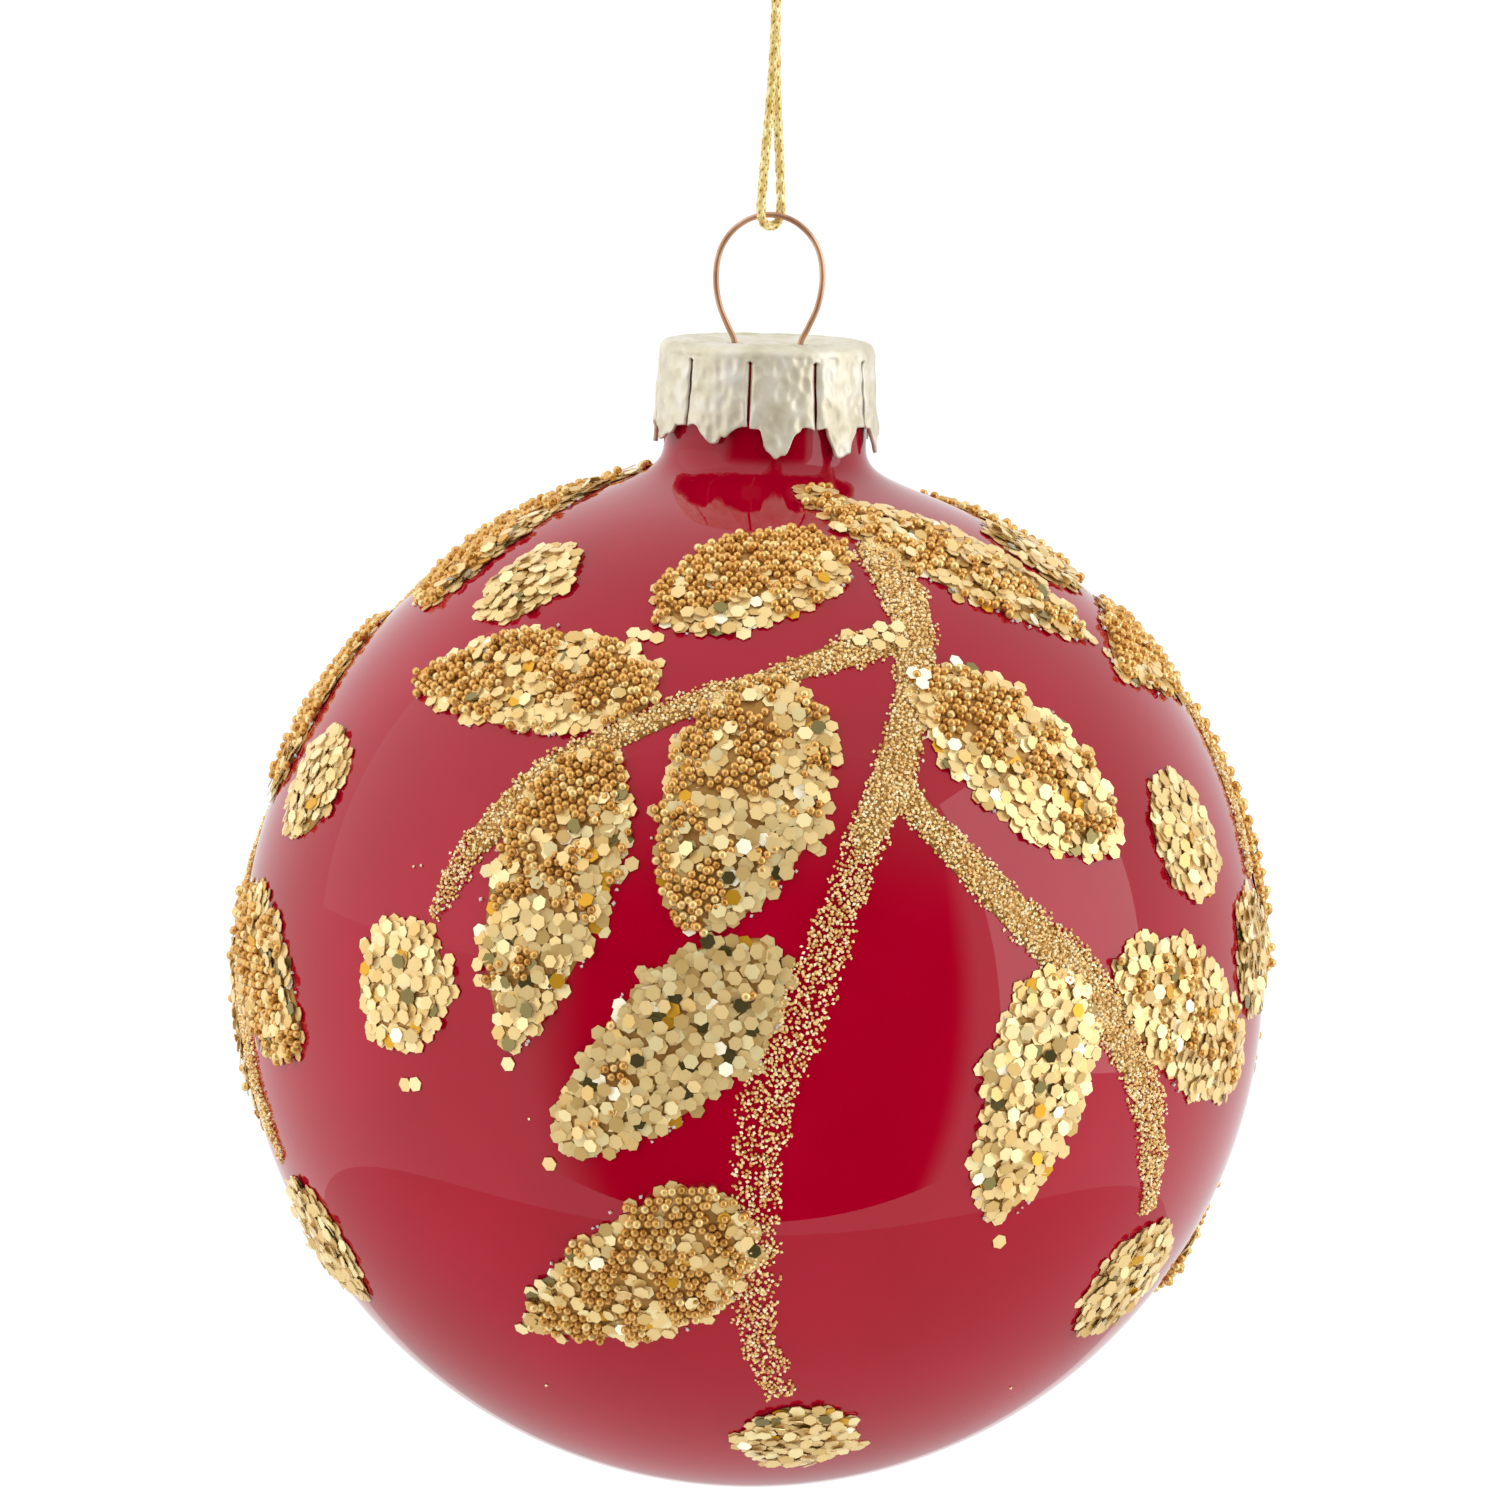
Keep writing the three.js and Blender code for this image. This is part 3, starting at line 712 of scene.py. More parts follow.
def make_knot():
    """The loop's two ends tied in one overhand knot, with short frayed tails above it."""
    chunks = Chunks()
    for side in (-1, 1):
        path = [(0, side * 0.42, -1.75), (side * 0.1, side * 0.4, -1.2)]
        for i in range(15):
            t = 0.5 + i * (2 * math.pi - 0.9) / 14
            x = math.sin(t) + 2 * math.sin(2 * t)
            y = math.cos(t) - 2 * math.cos(2 * t)
            z = -math.sin(3 * t)
            path.append((0.27 * x + side * 0.08, 0.27 * y, 0.55 * z + side * 0.3))
        path += [
            (side * 0.45, 0, 1.3),
            (side * 0.6, side * 0.1, 0.6 + 2.25),
            (side * 1.1, side * 0.36, 4.5),
        ]
        line = catmull(path, 8)
        add_braid(chunks, line, 0.16)
        end = line[-1]
        rng = np.random.RandomState(40 + side)
        for _ in range(7):
            spread = rng.uniform(-0.3, 0.3, 2)
            middle = end + (spread[0] / 2, spread[1] / 2, 0.2)
            fibre = np.array([end - (0, 0, 0.3), middle, end + (*spread, 0.5)])
            add_tube(chunks, fibre, [0.05, 0.045, 0.02], 5)
    return chunks.piece("cord_end_knot", [THREAD, THREAD], "knot", "gold_thread", ["cord_knot"])


# ---- Glitter ----

# The layout in degrees of azimuth from the front and elevation, as in the CAD but for leaf 9's tip. left
# and right are half widths. beads is the share of micro-beads, and along, side and middle say how it
# changes towards the tip, the left side and the middle line.
LEAF_KEYS = ("base", "tip", "left", "right", "belly", "blunt", "beads", "along", "side", "middle")
LEAF_ROWS = [
    ((20, 61.5), (-17.5, 47.5), 8.8, 8, 0.95, 0.55, 0.7, -0.35, -0.35, 0.25),
    ((18, 70.5), (62.5, 45), 6.6, 9.2, 1, 0.5, 0.3, -0.1, -0.35, 0.45),
    ((-13.5, 37.5), (-55.5, 36.5), 7.4, 7.4, 0.8, 0.6, 0.5, 0, -0.1, 0.25),
    ((-19.5, 31), (-27, -3.5), 7.6, 8.5, 0.8, 0.6, 0.45, -0.9, -0.2, 0.15),
    ((4.5, 40), (-6.5, 10), 9.5, 9.8, 0.85, 0.5, 0.44, 0.1, -0.25, 0.1),
    ((22, 40.5), (47, 19), 8.5, 8.7, 1, 0.5, 0.4, -0.3, 0.15, 0.6),
    ((3, 9.5), (-22, -14.5), 8.2, 7.8, 0.8, 0.6, 0.1, -0.15, 0, 0.1),
    ((0, -20.5), (-31, -37.5), 8.8, 8, 0.7, 0.55, 0.55, -0.2, 0, 0.1),
    ((37, 6.5), (30.8, -22.6), 6.3, 8.3, 0.75, 0.55, 0, -0.2, -0.05, 0.2),
    ((43.5, 6.5), (72.5, -8), 8.3, 7.5, 1, 0.5, 0.2, 0, 0, 0.4),
]
LEAVES = [dict(zip(LEAF_KEYS, row)) for row in LEAF_ROWS]
BERRIES = [((-42, 2.5), 7.4), ((60.5, -32), 7.8), ((12, -57), 7.4)]
BUD = ((22, 72.5), 3.4)
BUD_MIX = dict(beads=0.5, along=0, side=0, middle=0.2)

# A stem line is a row of (azimuth, elevation, half width).
MAIN_STEM = [
    (27, 62, 3), (26.5, 54, 3.1), (26, 48.5, 2.9), (24, 43.5, 2.7), (22, 38.5, 2.4),
    (19.5, 33.5, 2.4), (17, 28, 2.8), (14, 23, 2.4), (11.5, 17.5, 2.4), (9, 11, 2.4), (7, 5.5, 2.7),
    (5, 0, 3), (2.5, -6, 3.1), (1.5, -12, 3.1), (1, -18, 2.9), (1, -25.5, 2.7), (1.5, -32.5, 2.5),
    (3, -40, 2.3), (6.5, -48, 2),
]
LEFT_BRANCH = [
    (23, 46.5, 2.1), (14.5, 44.3, 2.3), (7, 42.2, 1.8), (0, 39.8, 1.6), (-6.5, 37.8, 1.6),
    (-12.2, 35.2, 1.6), (-18.4, 32.3, 1.9), (-23.2, 29.6, 2.2), (-27, 26.8, 2.5), (-30, 23.4, 2.5),
    (-33, 19.8, 2.3), (-35.6, 15.4, 2), (-38.3, 10.4, 1.2),
]
RIGHT_BRANCH = [
    (17, 28.5, 2), (20.5, 23.5, 2), (24, 19.5, 2.2), (28, 15.5, 2.4), (32, 11.5, 2.6),
    (36.5, 7.5, 2.8), (40.5, 4, 2.8), (44, 0, 2.6), (47, -4, 2.5), (50, -8, 2.6), (52, -12, 2.6),
    (54, -16, 2.3), (55.5, -19.5, 1.7), (56.5, -22.5, 1.2),
]
# Each stem line, the share of it that has a bed of glue, and how dense its grains are along it.
STEM_LINES = [
    (MAIN_STEM, 0.4, ((0, 0.3, 0.5, 0.7, 1), (1, 0.9, 0.62, 0.42, 0.5))),
    (LEFT_BRANCH, 0.9, ((0, 1), (1, 0.8))),
    (RIGHT_BRANCH, 0.75, ((0, 0.6, 1), (0.95, 1, 0.8))),
]
SPRIG_MIDDLE = 20
# Each sprig: name, turn round the ball, spread, lift, extra share of beads, and its round dots.
SPRIGS = [
    ("front", 0, 1, 0, 0, [(-47.5, 52.5, 6.7), (-67.5, 23, 6.9)]),
    ("right", 118, 0.98, 3, 0.1, [(80, 57.5, 6.6), (61.5, 20, 7.3)]),
    ("left", -127, 0.9, 1.5, 0.26, [(-163, 56, 6.5), (176, 22, 6.7)]),
]
MM_PER_DEGREE = BALL_RADIUS * DEG
SLOTS = {"stem": "fine_glitter", "leaf": "leaf_glitter"}  # the other patches are hex_glitter


def way_to(azimuth, elevation):
    a, e = azimuth * DEG, elevation * DEG
    return np.array([math.cos(e) * math.sin(a), -math.cos(e) * math.cos(a), math.sin(e)])


def hexagon_template():
    """A thin six-sided flake with its face up."""
    reach = HEX_ACROSS / math.sqrt(3)
    points = []
    for z in (-HEX_THICKNESS / 2, HEX_THICKNESS / 2):
        for k in range(6):
            a = k * math.pi / 3
            points.append((reach * math.cos(a), reach * math.sin(a), z))
    faces = [tuple(reversed(range(6))), tuple(range(6, 12))]
    faces += [(k, (k + 1) % 6, 6 + (k + 1) % 6, 6 + k) for k in range(6)]
    return np.array(points), faces


def bead_template():
    """A small round bead."""
    points = [(0, 0, -1)]
    sides = 9
    latitudes = (-54, -19, 19, 54)
    for latitude in latitudes:
        for k in range(sides):
            a = (k + latitude / 76) * 2 * math.pi / sides
            c = math.cos(latitude * DEG)
            points.append((c * math.cos(a), c * math.sin(a), math.sin(latitude * DEG)))
    points.append((0, 0, 1))
    faces = [(0, 1 + (k + 1) % sides, 1 + k) for k in range(sides)]
    for ring in range(len(latitudes) - 1):
        low = 1 + ring * sides
        for k in range(sides):
            after = low + (k + 1) % sides
            faces.append((low + k, after, after + sides, low + k + sides))
    last = 1 + (len(latitudes) - 1) * sides
    faces += [(last + k, last + (k + 1) % sides, len(points) - 1) for k in range(sides)]
    return np.array(points) * BEAD_RADIUS, faces


def grain_template():
    """A tiny faceted grain."""
    points = [(0, 0, -0.9), (1, 0, 0.1), (0.1, 0.95, -0.1), (-1, 0.1, 0.1), (0, -1, 0), (0.1, 0, 0.95)]
    faces = []
    for k in range(4):
        here, after = 1 + k, 1 + (k + 1) % 4
        faces += [(0, after, here), (here, after, 5)]
    return np.array(points) * GRAIN_RADIUS, faces


HEXAGON = hexagon_template()
BEAD = bead_template()
GRAIN = grain_template()


def tangent_frames(ways, rng, tilt):
    """A frame for each grain: up along the glass's normal, turned and tipped at random."""
    count = len(ways)
    lean = rng.normal(0, tilt * DEG, (count, 3))
    up = unit(ways + np.cross(ways, lean))
    start = rng.normal(size=(count, 3))
    x = unit(np.cross(start, up))
    return np.stack([x, np.cross(up, x), up], axis=2)


def pick_tones(rng, count, tones, first):
    """A material index for each of count grains, by the tones' shares."""
    shares = np.array([tone[4] for tone in tones])
    return first + rng.choice(len(tones), count, p=shares / shares.sum())


class Patch:
    """A patch of the ball in its own millimetres: s along its line and t across, to the left."""

    def __init__(self, rows):
        """rows is a list of (direction, left and right half widths in degrees) along the patch."""
        ways = np.array([row[0] for row in rows])
        gaps = np.arccos(np.clip((ways[1:] * ways[:-1]).sum(1), -1, 1)) * BALL_RADIUS
        self.s = np.concatenate([[0], np.cumsum(gaps)])
        self.ways = ways
        along = np.gradient(ways, self.s, axis=0)
        self.across = unit(np.cross(ways, along))
        self.left = np.array([row[1] for row in rows]) * MM_PER_DEGREE
        self.right = np.array([row[2] for row in rows]) * MM_PER_DEGREE
        self.length = self.s[-1]
        self.seed = 10 * ways[0, 0] + 20 * ways[-1, 1]

    def widths(self, s):
        return np.interp(s, self.s, self.left), np.interp(s, self.s, self.right)

    def way(self, s, t):
        base = np.stack([np.interp(s, self.s, self.ways[:, k]) for k in range(3)], axis=1)
        across = np.stack([np.interp(s, self.s, self.across[:, k]) for k in range(3)], axis=1)
        base = unit(base)
        across = unit(across - base * (base * across).sum(1)[:, None])
        angle = t / BALL_RADIUS
        return base * np.cos(angle)[:, None] + across * np.sin(angle)[:, None]

    def spots(self, rng, spacing, jitter, margin, ragged):
        """Places on a shaken hexagonal grid inside the outline: s, t, and v from -1 right to 1 left."""
        widest = max(self.left.max(), self.right.max()) + 1
        s = np.arange(-1, self.length + 1, spacing * 0.866)
        t = np.arange(-widest, widest, spacing)
        grid_s, grid_t = np.meshgrid(s, t, indexing="ij")
        grid_t = grid_t + (np.arange(len(s)) % 2)[:, None] * spacing / 2
        s = grid_s.ravel() + rng.normal(0, jitter, grid_s.size)
        t = grid_t.ravel() + rng.normal(0, jitter, grid_s.size)
        left, right = self.widths(np.clip(s, 0, self.length))
        slow = [noise.noise(Vector((a / 2.6 + self.seed, b / 2.6, self.seed))) for a, b in zip(s, t)]
        edge = margin - rng.uniform(-ragged, ragged, s.size) - 2.2 * ragged * np.array(slow)
        inside = (t < left - edge) & (t > -(right - edge))
        inside &= (s > edge * 0.5) & (s < self.length - edge * 0.5)
        s, t, left, right = s[inside], t[inside], left[inside], right[inside]
        return s, t, np.where(t > 0, t / np.maximum(left, 0.1), t / np.maximum(right, 0.1))


def on_glass(ways, heights):
    """Points a height above the glass in each direction, in the row frame."""
    return ways * (glass_reach(ways) + heights)[:, None] + np.array([0, 0, BALL_Z])


def eased(steps):
    """Shares from 0 to 1 that lie closer together near both ends."""
    return [(1 - math.cos(math.pi * i / steps)) / 2 for i in range(steps + 1)]


def leaf_patch(leaf, place):
    base, tip = place(*leaf["base"]), place(*leaf["tip"])
    across = np.cross(base, tip)
    across /= np.linalg.norm(across)
    ahead = np.cross(across, base)
    reach = math.acos(np.clip(base.dot(tip), -1, 1))
    rows = []
    for u in eased(24):
        way = base * math.cos(u * reach) + ahead * math.sin(u * reach)
        share = max(0.0, math.sin(math.pi * u ** leaf["belly"])) ** leaf["blunt"]
        rows.append((way, leaf["left"] * share, leaf["right"] * share))
    return Patch(rows)


def round_patch(centre, radius):
    up = np.array([0.0, 0, 1])
    ahead = up - centre * centre.dot(up)
    ahead /= np.linalg.norm(ahead)
    rows = []
    for u in eased(16):
        angle = (2 * u - 1) * radius * DEG
        way = centre * math.cos(angle) + ahead * math.sin(angle)
        half = 2 * radius * math.sqrt(max(0.0, u * (1 - u)))
        rows.append((way, half, half))
    return Patch(rows)


def line_patch(line, place):
    ways = unit(catmull([place(a, e) for a, e, _ in line], 4))
    shares = np.linspace(0, 1, len(ways))
    halves = np.interp(shares, np.linspace(0, 1, len(line)), [row[2] for row in line])
    return Patch([(way, half, half) for way, half in zip(ways, halves)])


def dome(v, s, length, low, high):
    """The pile's height over the glass: high in the middle and low at the outline."""
    ends = np.clip(np.minimum(s, length - s) / 2.2, 0, 1)
    return low + (high - low) * (1 - v**2) * ends


def scatter(chunks, patch, rng, kind, s, t, heights, tilt, sizes):
    """One layer of a kind of grain at (s, t): tipped, sized and toned at random, in that order."""
    template, tones, first, smooth = kind
    ways = patch.way(s, t)
    frames = tangent_frames(ways, rng, tilt)
    size = rng.uniform(*sizes, len(s))
    tone = pick_tones(rng, len(s), tones, first)
    chunks.add_copies(template, on_glass(ways, heights), frames * size[:, None, None], tone, smooth)


def add_flakes(chunks, patch, rng, mask, dark, painted_glint_share):
    """Hexagonal flakes in overlapping layers: two all over and one more in the middle."""
    # dark scales the share of dark flakes; the last argument scales the near-white flakes, which are
    # painted glints.
    change = {"hex_dark": dark, "hex_painted_glint": painted_glint_share}
    tones = [(*tone[:4], tone[4] * change.get(tone[0], 1)) for tone in HEX_TONES]
    layers = [(0.9, 0.12, 0.35), (1.0, 0.36, 0.5), (1.5, 0.62, 1.4)]
    for layer, (spacing, lift, margin) in enumerate(layers):
        s, t, v = patch.spots(rng, spacing, 0.2, margin, 0.4 if layer else 0.52)
        if mask is not None and layer:
            keep = ~mask(s, t, v, rng)
            s, t, v = s[keep], t[keep], v[keep]
        heights = dome(v, s, patch.length, lift * 0.8, lift * 1.15) + rng.uniform(-0.05, 0.05, len(s))
        kind = (HEXAGON, tones, HEX_FIRST, False)
        scatter(chunks, patch, rng, kind, s, t, heights, 3 + 4 * layer, (0.88, 1.08))


def add_beads(chunks, patch, rng, mask):
    """Micro-beads where the mask says, in one full layer and a few more on top."""
    for spacing, lift in ((0.74, 0.42), (1.6, 0.8)):
        s, t, v = patch.spots(rng, spacing, 0.06, 0.4, 0.35)
        keep = mask(s, t, v, rng) & ((lift < 0.6) | (np.abs(v) < 0.8))
        s, t, v = s[keep], t[keep], v[keep]
        heights = dome(v, s, patch.length, lift * 0.8, lift) + rng.uniform(-0.06, 0.06, len(s))
        kind = (BEAD, BEAD_TONES, BEAD_FIRST, True)
        scatter(chunks, patch, rng, kind, s, t, heights, 60, (0.9, 1.06))


def add_grains(chunks, patch, rng, density):
    """Fine grains; density is shares of the line's length and how dense the grains are there."""
    for spacing, lift, margin in ((0.3, 0.12, 0.05), (0.33, 0.32, 0.35)):
        s, t, v = patch.spots(rng, spacing, 0.09, margin, 0.28)
        want = np.interp(s / patch.length, *density) * np.clip(1.45 - 0.6 * np.abs(v), 0, 1)
        keep = rng.uniform(0, 1, len(s)) < want * (1 if lift < 0.2 else 0.85)
        s, t, v = s[keep], t[keep], v[keep]
        heights = lift * (1 - 0.4 * v**2) + rng.uniform(-0.04, 0.06, len(s))
        kind = (GRAIN, GRAIN_TONES, GRAIN_FIRST, False)
        scatter(chunks, patch, rng, kind, s, t, heights, 50, (0.75, 1.15))


def bed_row(patch, s, right, left, heights):
    """One loop of points across a bed of glue: its top at these heights and its underside."""
    count = len(heights)
    ways = patch.way(np.full(count, s), np.linspace(-right, left, count))
    bottom = on_glass(ways, np.full(count, BED_UNDERSIDE))
    return np.concatenate([on_glass(ways, heights), bottom[::-1]])


def add_bed(chunks, patch):
    """The bed of glue under a patch: a low closed dome with its edge inside the outline, coloured
    amber-brown as painted shade between the flakes.
    """
    rows = []
    at = np.linspace(BED_INSET, patch.length - BED_INSET, BED_ROWS)
    v = np.linspace(-1, 1, BED_COLUMNS)
    for s, left, right in zip(at, *patch.widths(at)):
        ends = min(1.0, min(s, patch.length - s) / 2)
        heights = BED_EDGE + (BED_HEIGHT - BED_EDGE) * (1 - v**2) * ends
        left, right = max(left - BED_INSET, 0.15), max(right - BED_INSET, 0.15)
        rows.append(bed_row(patch, s, right, left, heights))
    add_strip(chunks, rows)


def add_stem_bed(chunks, patch, reach):
    """A thin bed of glue under the dense part of a stem line, the first reach of its length, coloured
    amber-brown as painted shade between the grains.
    """
    at = np.linspace(0.4, patch.length * reach, 40)
    left, right = patch.widths(at)
    shrink = np.clip((patch.length * reach - at) / 3, 0.1, 1)
    rows = []
    heights = np.array([0.04, 0.14, 0.16, 0.14, 0.04])
    for s, l, r in zip(at, left * 0.8 * shrink, right * 0.8 * shrink):
        rows.append(bed_row(patch, s, r, l, heights))
    add_strip(chunks, rows)


def add_strip(chunks, rows):
    """A closed bar of glue through rows of points, each row one loop, in the bed's amber-brown
    painted-shade colour.
    """
    faces = [face[::-1] for face in bar_faces(len(rows), len(rows[0]))]
    chunks.add(np.concatenate(rows), faces, BED_SHADE_INDEX)


def add_crumbs(chunks, patch, rng, count):
    """Small clear crumbs of glue along a patch's outline."""
    s = rng.uniform(0.1, 0.98, count) * patch.length
    left, right = patch.widths(s)
    sides = rng.choice([-1, 1], count)
    t = np.where(sides > 0, left, -right) * rng.uniform(0.92, 1.02, count)
    ways = patch.way(s, t)
    frames = tangent_frames(ways, rng, 50) * rng.uniform(0.7, 1.3, count)[:, None, None]
    centres = on_glass(ways, np.full(count, 0.12))
    chunks.add_copies(GRAIN, centres, frames, np.full(count, GLUE_INDEX), False)


def bead_mask(leaf, patch, seed, more=0):
    """Where a leaf has beads and not flakes: in clusters, by the leaf's shares, plus more."""

    def mask(s, t, v, rng):
        u = s / patch.length
        share = more + leaf["beads"] + leaf["along"] * (u - 0.4) + leaf["side"] * v
        share = share + leaf["middle"] * (0.6 - np.abs(v))
        spots = [Vector((a / 1.9 + seed * 7.3, b / 1.9, seed * 3.1)) for a, b in zip(s, t)]
        cluster = [noise.noise(spot) for spot in spots]
        return share + 0.75 * np.array(cluster) + rng.uniform(-0.12, 0.12, len(s)) > 0.5

    return mask


def make_sprig(index, name, turn, spread, lift, more_beads, dots):
    def place(azimuth, elevation):
        return way_to(SPRIG_MIDDLE + (azimuth - SPRIG_MIDDLE) * spread + turn, elevation + lift)

    def finish(chunks, what):
        node = f"{name}_{what}"
        slot = SLOTS.get(what.split("_")[0], "hex_glitter")
        chunks.piece(f"glitter_{node}", GLITTER_LOOKS, "ball", slot, [node])

    rng = np.random.RandomState(100 + index)
    stem = Chunks()
    for line, reach, density in STEM_LINES:
        patch = line_patch(line, place)
        add_stem_bed(stem, patch, reach)
        add_grains(stem, patch, rng, density)
    finish(stem, "stem")
    for i, leaf in enumerate(LEAVES):
        rng = np.random.RandomState(200 + 20 * index + i)
        patch = leaf_patch(leaf, place)
        mask = bead_mask(leaf, patch, i + 11 * index, more_beads)
        chunks = Chunks()
        add_bed(chunks, patch)
        add_flakes(chunks, patch, rng, mask, 1.3, 1.1)
        add_beads(chunks, patch, rng, mask)
        add_crumbs(chunks, patch, rng, 14)
        finish(chunks, f"leaf_{i + 1}")
    rounds = [("bud", place(*BUD[0]), BUD[1])]
    rounds += [(f"berry_{i + 1}", place(*centre), radius) for i, (centre, radius) in enumerate(BERRIES)]
    rounds += [(f"dot_{i + 1}", way_to(a, e), radius) for i, (a, e, radius) in enumerate(dots)]
    for i, (what, centre, radius) in enumerate(rounds):
        rng = np.random.RandomState(300 + 20 * index + i)
        patch = round_patch(centre, radius)
        chunks = Chunks()
        add_bed(chunks, patch)
        mask = bead_mask(BUD_MIX, patch, i) if what == "bud" else None
        add_flakes(chunks, patch, rng, mask, 0.5, 0.7)
        if mask:
            add_beads(chunks, patch, rng, mask)
        finish(chunks, what)


# Single flakes and specks that stand apart from the patches: (kind, azimuth, elevation, height). A white
# flake is a painted glint.
STRAYS = [
    ("flake", -41.4, -8.5, 0.1), ("flake", -39.9, -8.3, 0.1), ("speck", -42.3, 15.5, 0.1),
    ("speck", -41.2, 15.7, 0.1), ("speck", -36.5, 7, 0.1), ("flake", -16.2, 45.4, 0.1),
    ("flake", -18.3, 45.7, 0.1), ("flake", -20.3, 46, 0.1), ("flake", 32.2, -24.6, 0.1),
    ("flake", -22.9, -16, 0.1), ("flake", -32.6, -38.4, 0.1), ("flake", -27.3, -5, 0.1),
    ("flake", 63.8, 44.5, 0.1), ("flake", 14, 46.6, 0.15), ("flake", 15.6, 45.4, 0.45),
    ("flake", 17.4, 46.3, 0.45), ("flake", 18.4, 44.7, 0.5), ("flake", 20.4, 45.8, 0.5),
    ("flake", 19.6, 47.4, 0.4), ("flake", 22.4, 47.2, 0.55), ("flake", 22.2, 45, 0.55),
    ("white", 22.3, 40.6, 0.75), ("white", 24, 40.4, 0.75), ("white", 23.2, 39.2, 0.8),
    ("white", 30, 42.2, 0.6), ("speck", -25, -11, 0.08), ("speck", -34, -48, 0.08),
    ("speck", 51, -48, 0.08), ("speck", 36, -2, 0.08),
]


def make_strays():
    rng = np.random.RandomState(77)
    chunks = Chunks()
    for kind, azimuth, elevation, height in STRAYS:
        ways = way_to(azimuth, elevation)[None, :]
        frames = tangent_frames(ways, rng, 4)
        centres = on_glass(ways, np.array([height]))
        if kind == "speck":
            chunks.add_copies(GRAIN, centres, frames * 0.8, [GRAIN_FIRST + 1], False)
        else:
            # A white stray takes the near-white tone, a painted glint.
            tone = HEX_FIRST + 4 if kind == "white" else HEX_FIRST + rng.randint(2)
            chunks.add_copies(HEXAGON, centres, frames, [tone], False)
    chunks.piece("glitter_strays", GLITTER_LOOKS, "ball", "hex_glitter")


# ---- Stage ----

FLOOR_DROP = 0.1  # metres from the ball's bottom down to the floor
FLOOR_RADIUS = 14
CARD_AWAY = 0.4  # metres from the ball's middle to the dark card on the camera's side
CARD_HALF_WIDTH = 0.5
CARD_LOW = -0.46
CARD_HIGH = 0.64
SHADE = (0.09, 0.25, 0.216)  # the oval of floor in reflections: its middle, half width and half depth

SHADE_GLOW = 0.64
# The dark card glows towards its edges: axis, start and edge in metres, strength at the edge.
FADES = [
    ("Z", 0.12, CARD_HIGH, 0.9),
    ("X", -0.26, -CARD_HALF_WIDTH, 1),
    ("X", 0.38, CARD_HALF_WIDTH, 1),
]

# Each lamp: name, azimuth, elevation, distance, width, height, radiance, shows in reflections.
LAMPS = [
    ("softbox_left", -84, 32, 0.8, 1.0, 0.8, 0.25, True),
    ("fill_left", -84, 32, 0.82, 1.0, 0.8, 0.95, False),
    ("softbox_right", 76, 14, 0.8, 0.6, 0.85, 1.5, True),
]


def glow_material(name, strength):
    """A material that only glows, in white, and its shader."""
    material = bpy.data.materials.new(name)
    material.use_nodes = True
    nodes = material.node_tree.nodes
    nodes.remove(nodes["Principled BSDF"])
    glow = nodes.new("ShaderNodeEmission")
    glow.inputs["Color"].default_value = (1, 1, 1, 1)
    glow.inputs["Strength"].default_value = strength
    material.node_tree.links.new(glow.outputs[0], nodes["Material Output"].inputs["Surface"])
    return material, glow


def make_card(name, corners, material):
    """A flat card that shows only in reflections."""
    mesh = bpy.data.meshes.new(name)
    mesh.from_pydata(corners, [], [tuple(range(len(corners)))])
    mesh.materials.append(material)
    card = new_object(name, mesh)
    card.visible_camera = False
    card.visible_diffuse = False
    card.visible_shadow = False


def make_floor(height):
    place = (0, 0, height)
    bpy.ops.mesh.primitive_circle_add(
        vertices=96, radius=FLOOR_RADIUS, fill_type="NGON", location=place
    )
    floor = bpy.context.object
    floor.name = "floor"
    glow = dict(Emission_Color=(1, 1, 1, 1), Emission_Strength=0.12)
    paint = principled("floor_paint", "#F8F8F8", 0.0, 0.7, **glow)
    bumps(paint, 3, 0.05, 0.002)
    floor.data.materials.append(paint)
    floor.visible_glossy = False


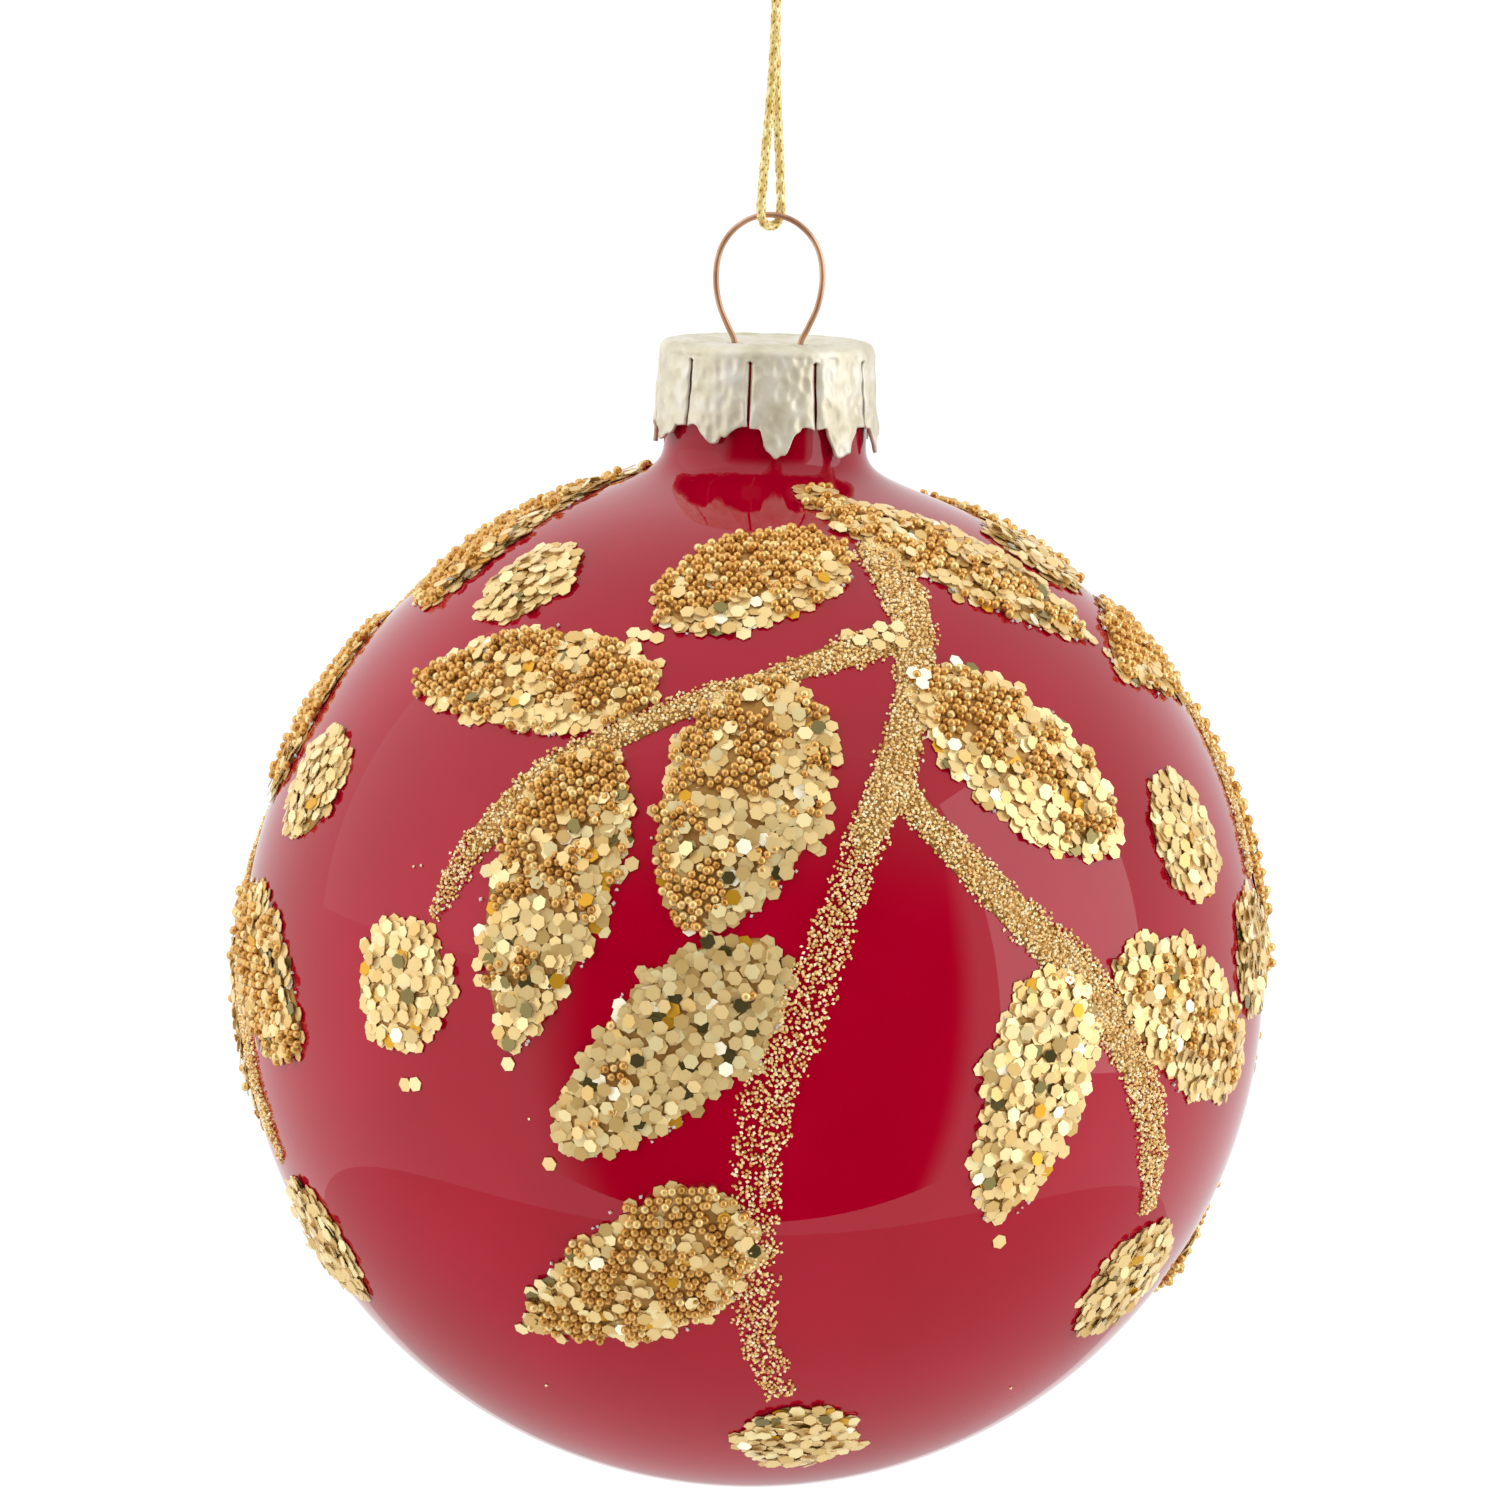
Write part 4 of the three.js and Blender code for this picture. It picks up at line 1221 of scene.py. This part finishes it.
def make_stage():
    scene = bpy.context.scene
    world = bpy.data.worlds.new("studio")
    world.use_nodes = True
    background = world.node_tree.nodes["Background"]
    background.inputs["Color"].default_value = (1, 1, 1, 1)
    background.inputs["Strength"].default_value = 1
    scene.world = world
    scene.view_settings.view_transform = "Standard"
    height = ball_low.z - FLOOR_DROP
    make_floor(height)
    centre = Vector((0, 0, BALL_Z * MM))
    low, high = centre.z + CARD_LOW, centre.z + CARD_HIGH
    dark, glow = glow_material("front_card", 0)
    nodes, links = dark.node_tree.nodes, dark.node_tree.links
    place = nodes.new("ShaderNodeTexCoord")
    split = nodes.new("ShaderNodeSeparateXYZ")
    links.new(place.outputs["Object"], split.inputs[0])
    w, y = CARD_HALF_WIDTH, -CARD_AWAY
    brightest = None
    for axis, start, end, glows in FADES:
        base = centre.z if axis == "Z" else 0
        fade = nodes.new("ShaderNodeMapRange")
        fade.interpolation_type = "SMOOTHSTEP"
        fade.inputs["From Min"].default_value = base + start
        fade.inputs["From Max"].default_value = base + end
        fade.inputs["To Max"].default_value = glows
        links.new(split.outputs[axis], fade.inputs["Value"])
        larger = nodes.new("ShaderNodeMath")
        larger.operation = "MAXIMUM"
        larger.inputs[0].default_value = 0
        links.new(fade.outputs["Result"], larger.inputs[1])
        if brightest:
            links.new(brightest.outputs[0], larger.inputs[0])
        brightest = larger
    links.new(brightest.outputs[0], glow.inputs["Strength"])
    make_card("front_card", [(-w, y, low), (w, y, low), (w, y, high), (-w, y, high)], dark)
    shade, _ = glow_material("floor_shade", SHADE_GLOW)
    turns = [k * math.pi / 36 for k in range(72)]
    middle, wide, deep = SHADE
    oval = [(wide * math.cos(a), middle + deep * math.sin(a), height + 0.001) for a in turns]
    make_card("floor_shade", oval, shade)
    for name, azimuth, elevation, distance, width, tall, radiance, glossy in LAMPS:
        way = Vector(way_to(azimuth, elevation))
        light = bpy.data.lights.new(name, "AREA")
        light.shape = "RECTANGLE"
        light.size = width
        light.size_y = tall
        light.energy = radiance * math.pi * width * tall
        lamp = new_object(name, light)
        lamp.location = centre + way * distance
        lamp.rotation_mode = "QUATERNION"
        lamp.rotation_quaternion = (-way).to_track_quat("-Z", "Y")
        lamp.visible_camera = False
        lamp.visible_glossy = glossy


make_cord()
make_wire()
make_cap()
make_ball()
for number, sprig in enumerate(SPRIGS):
    make_sprig(number, *sprig)
make_strays()
make_stage()
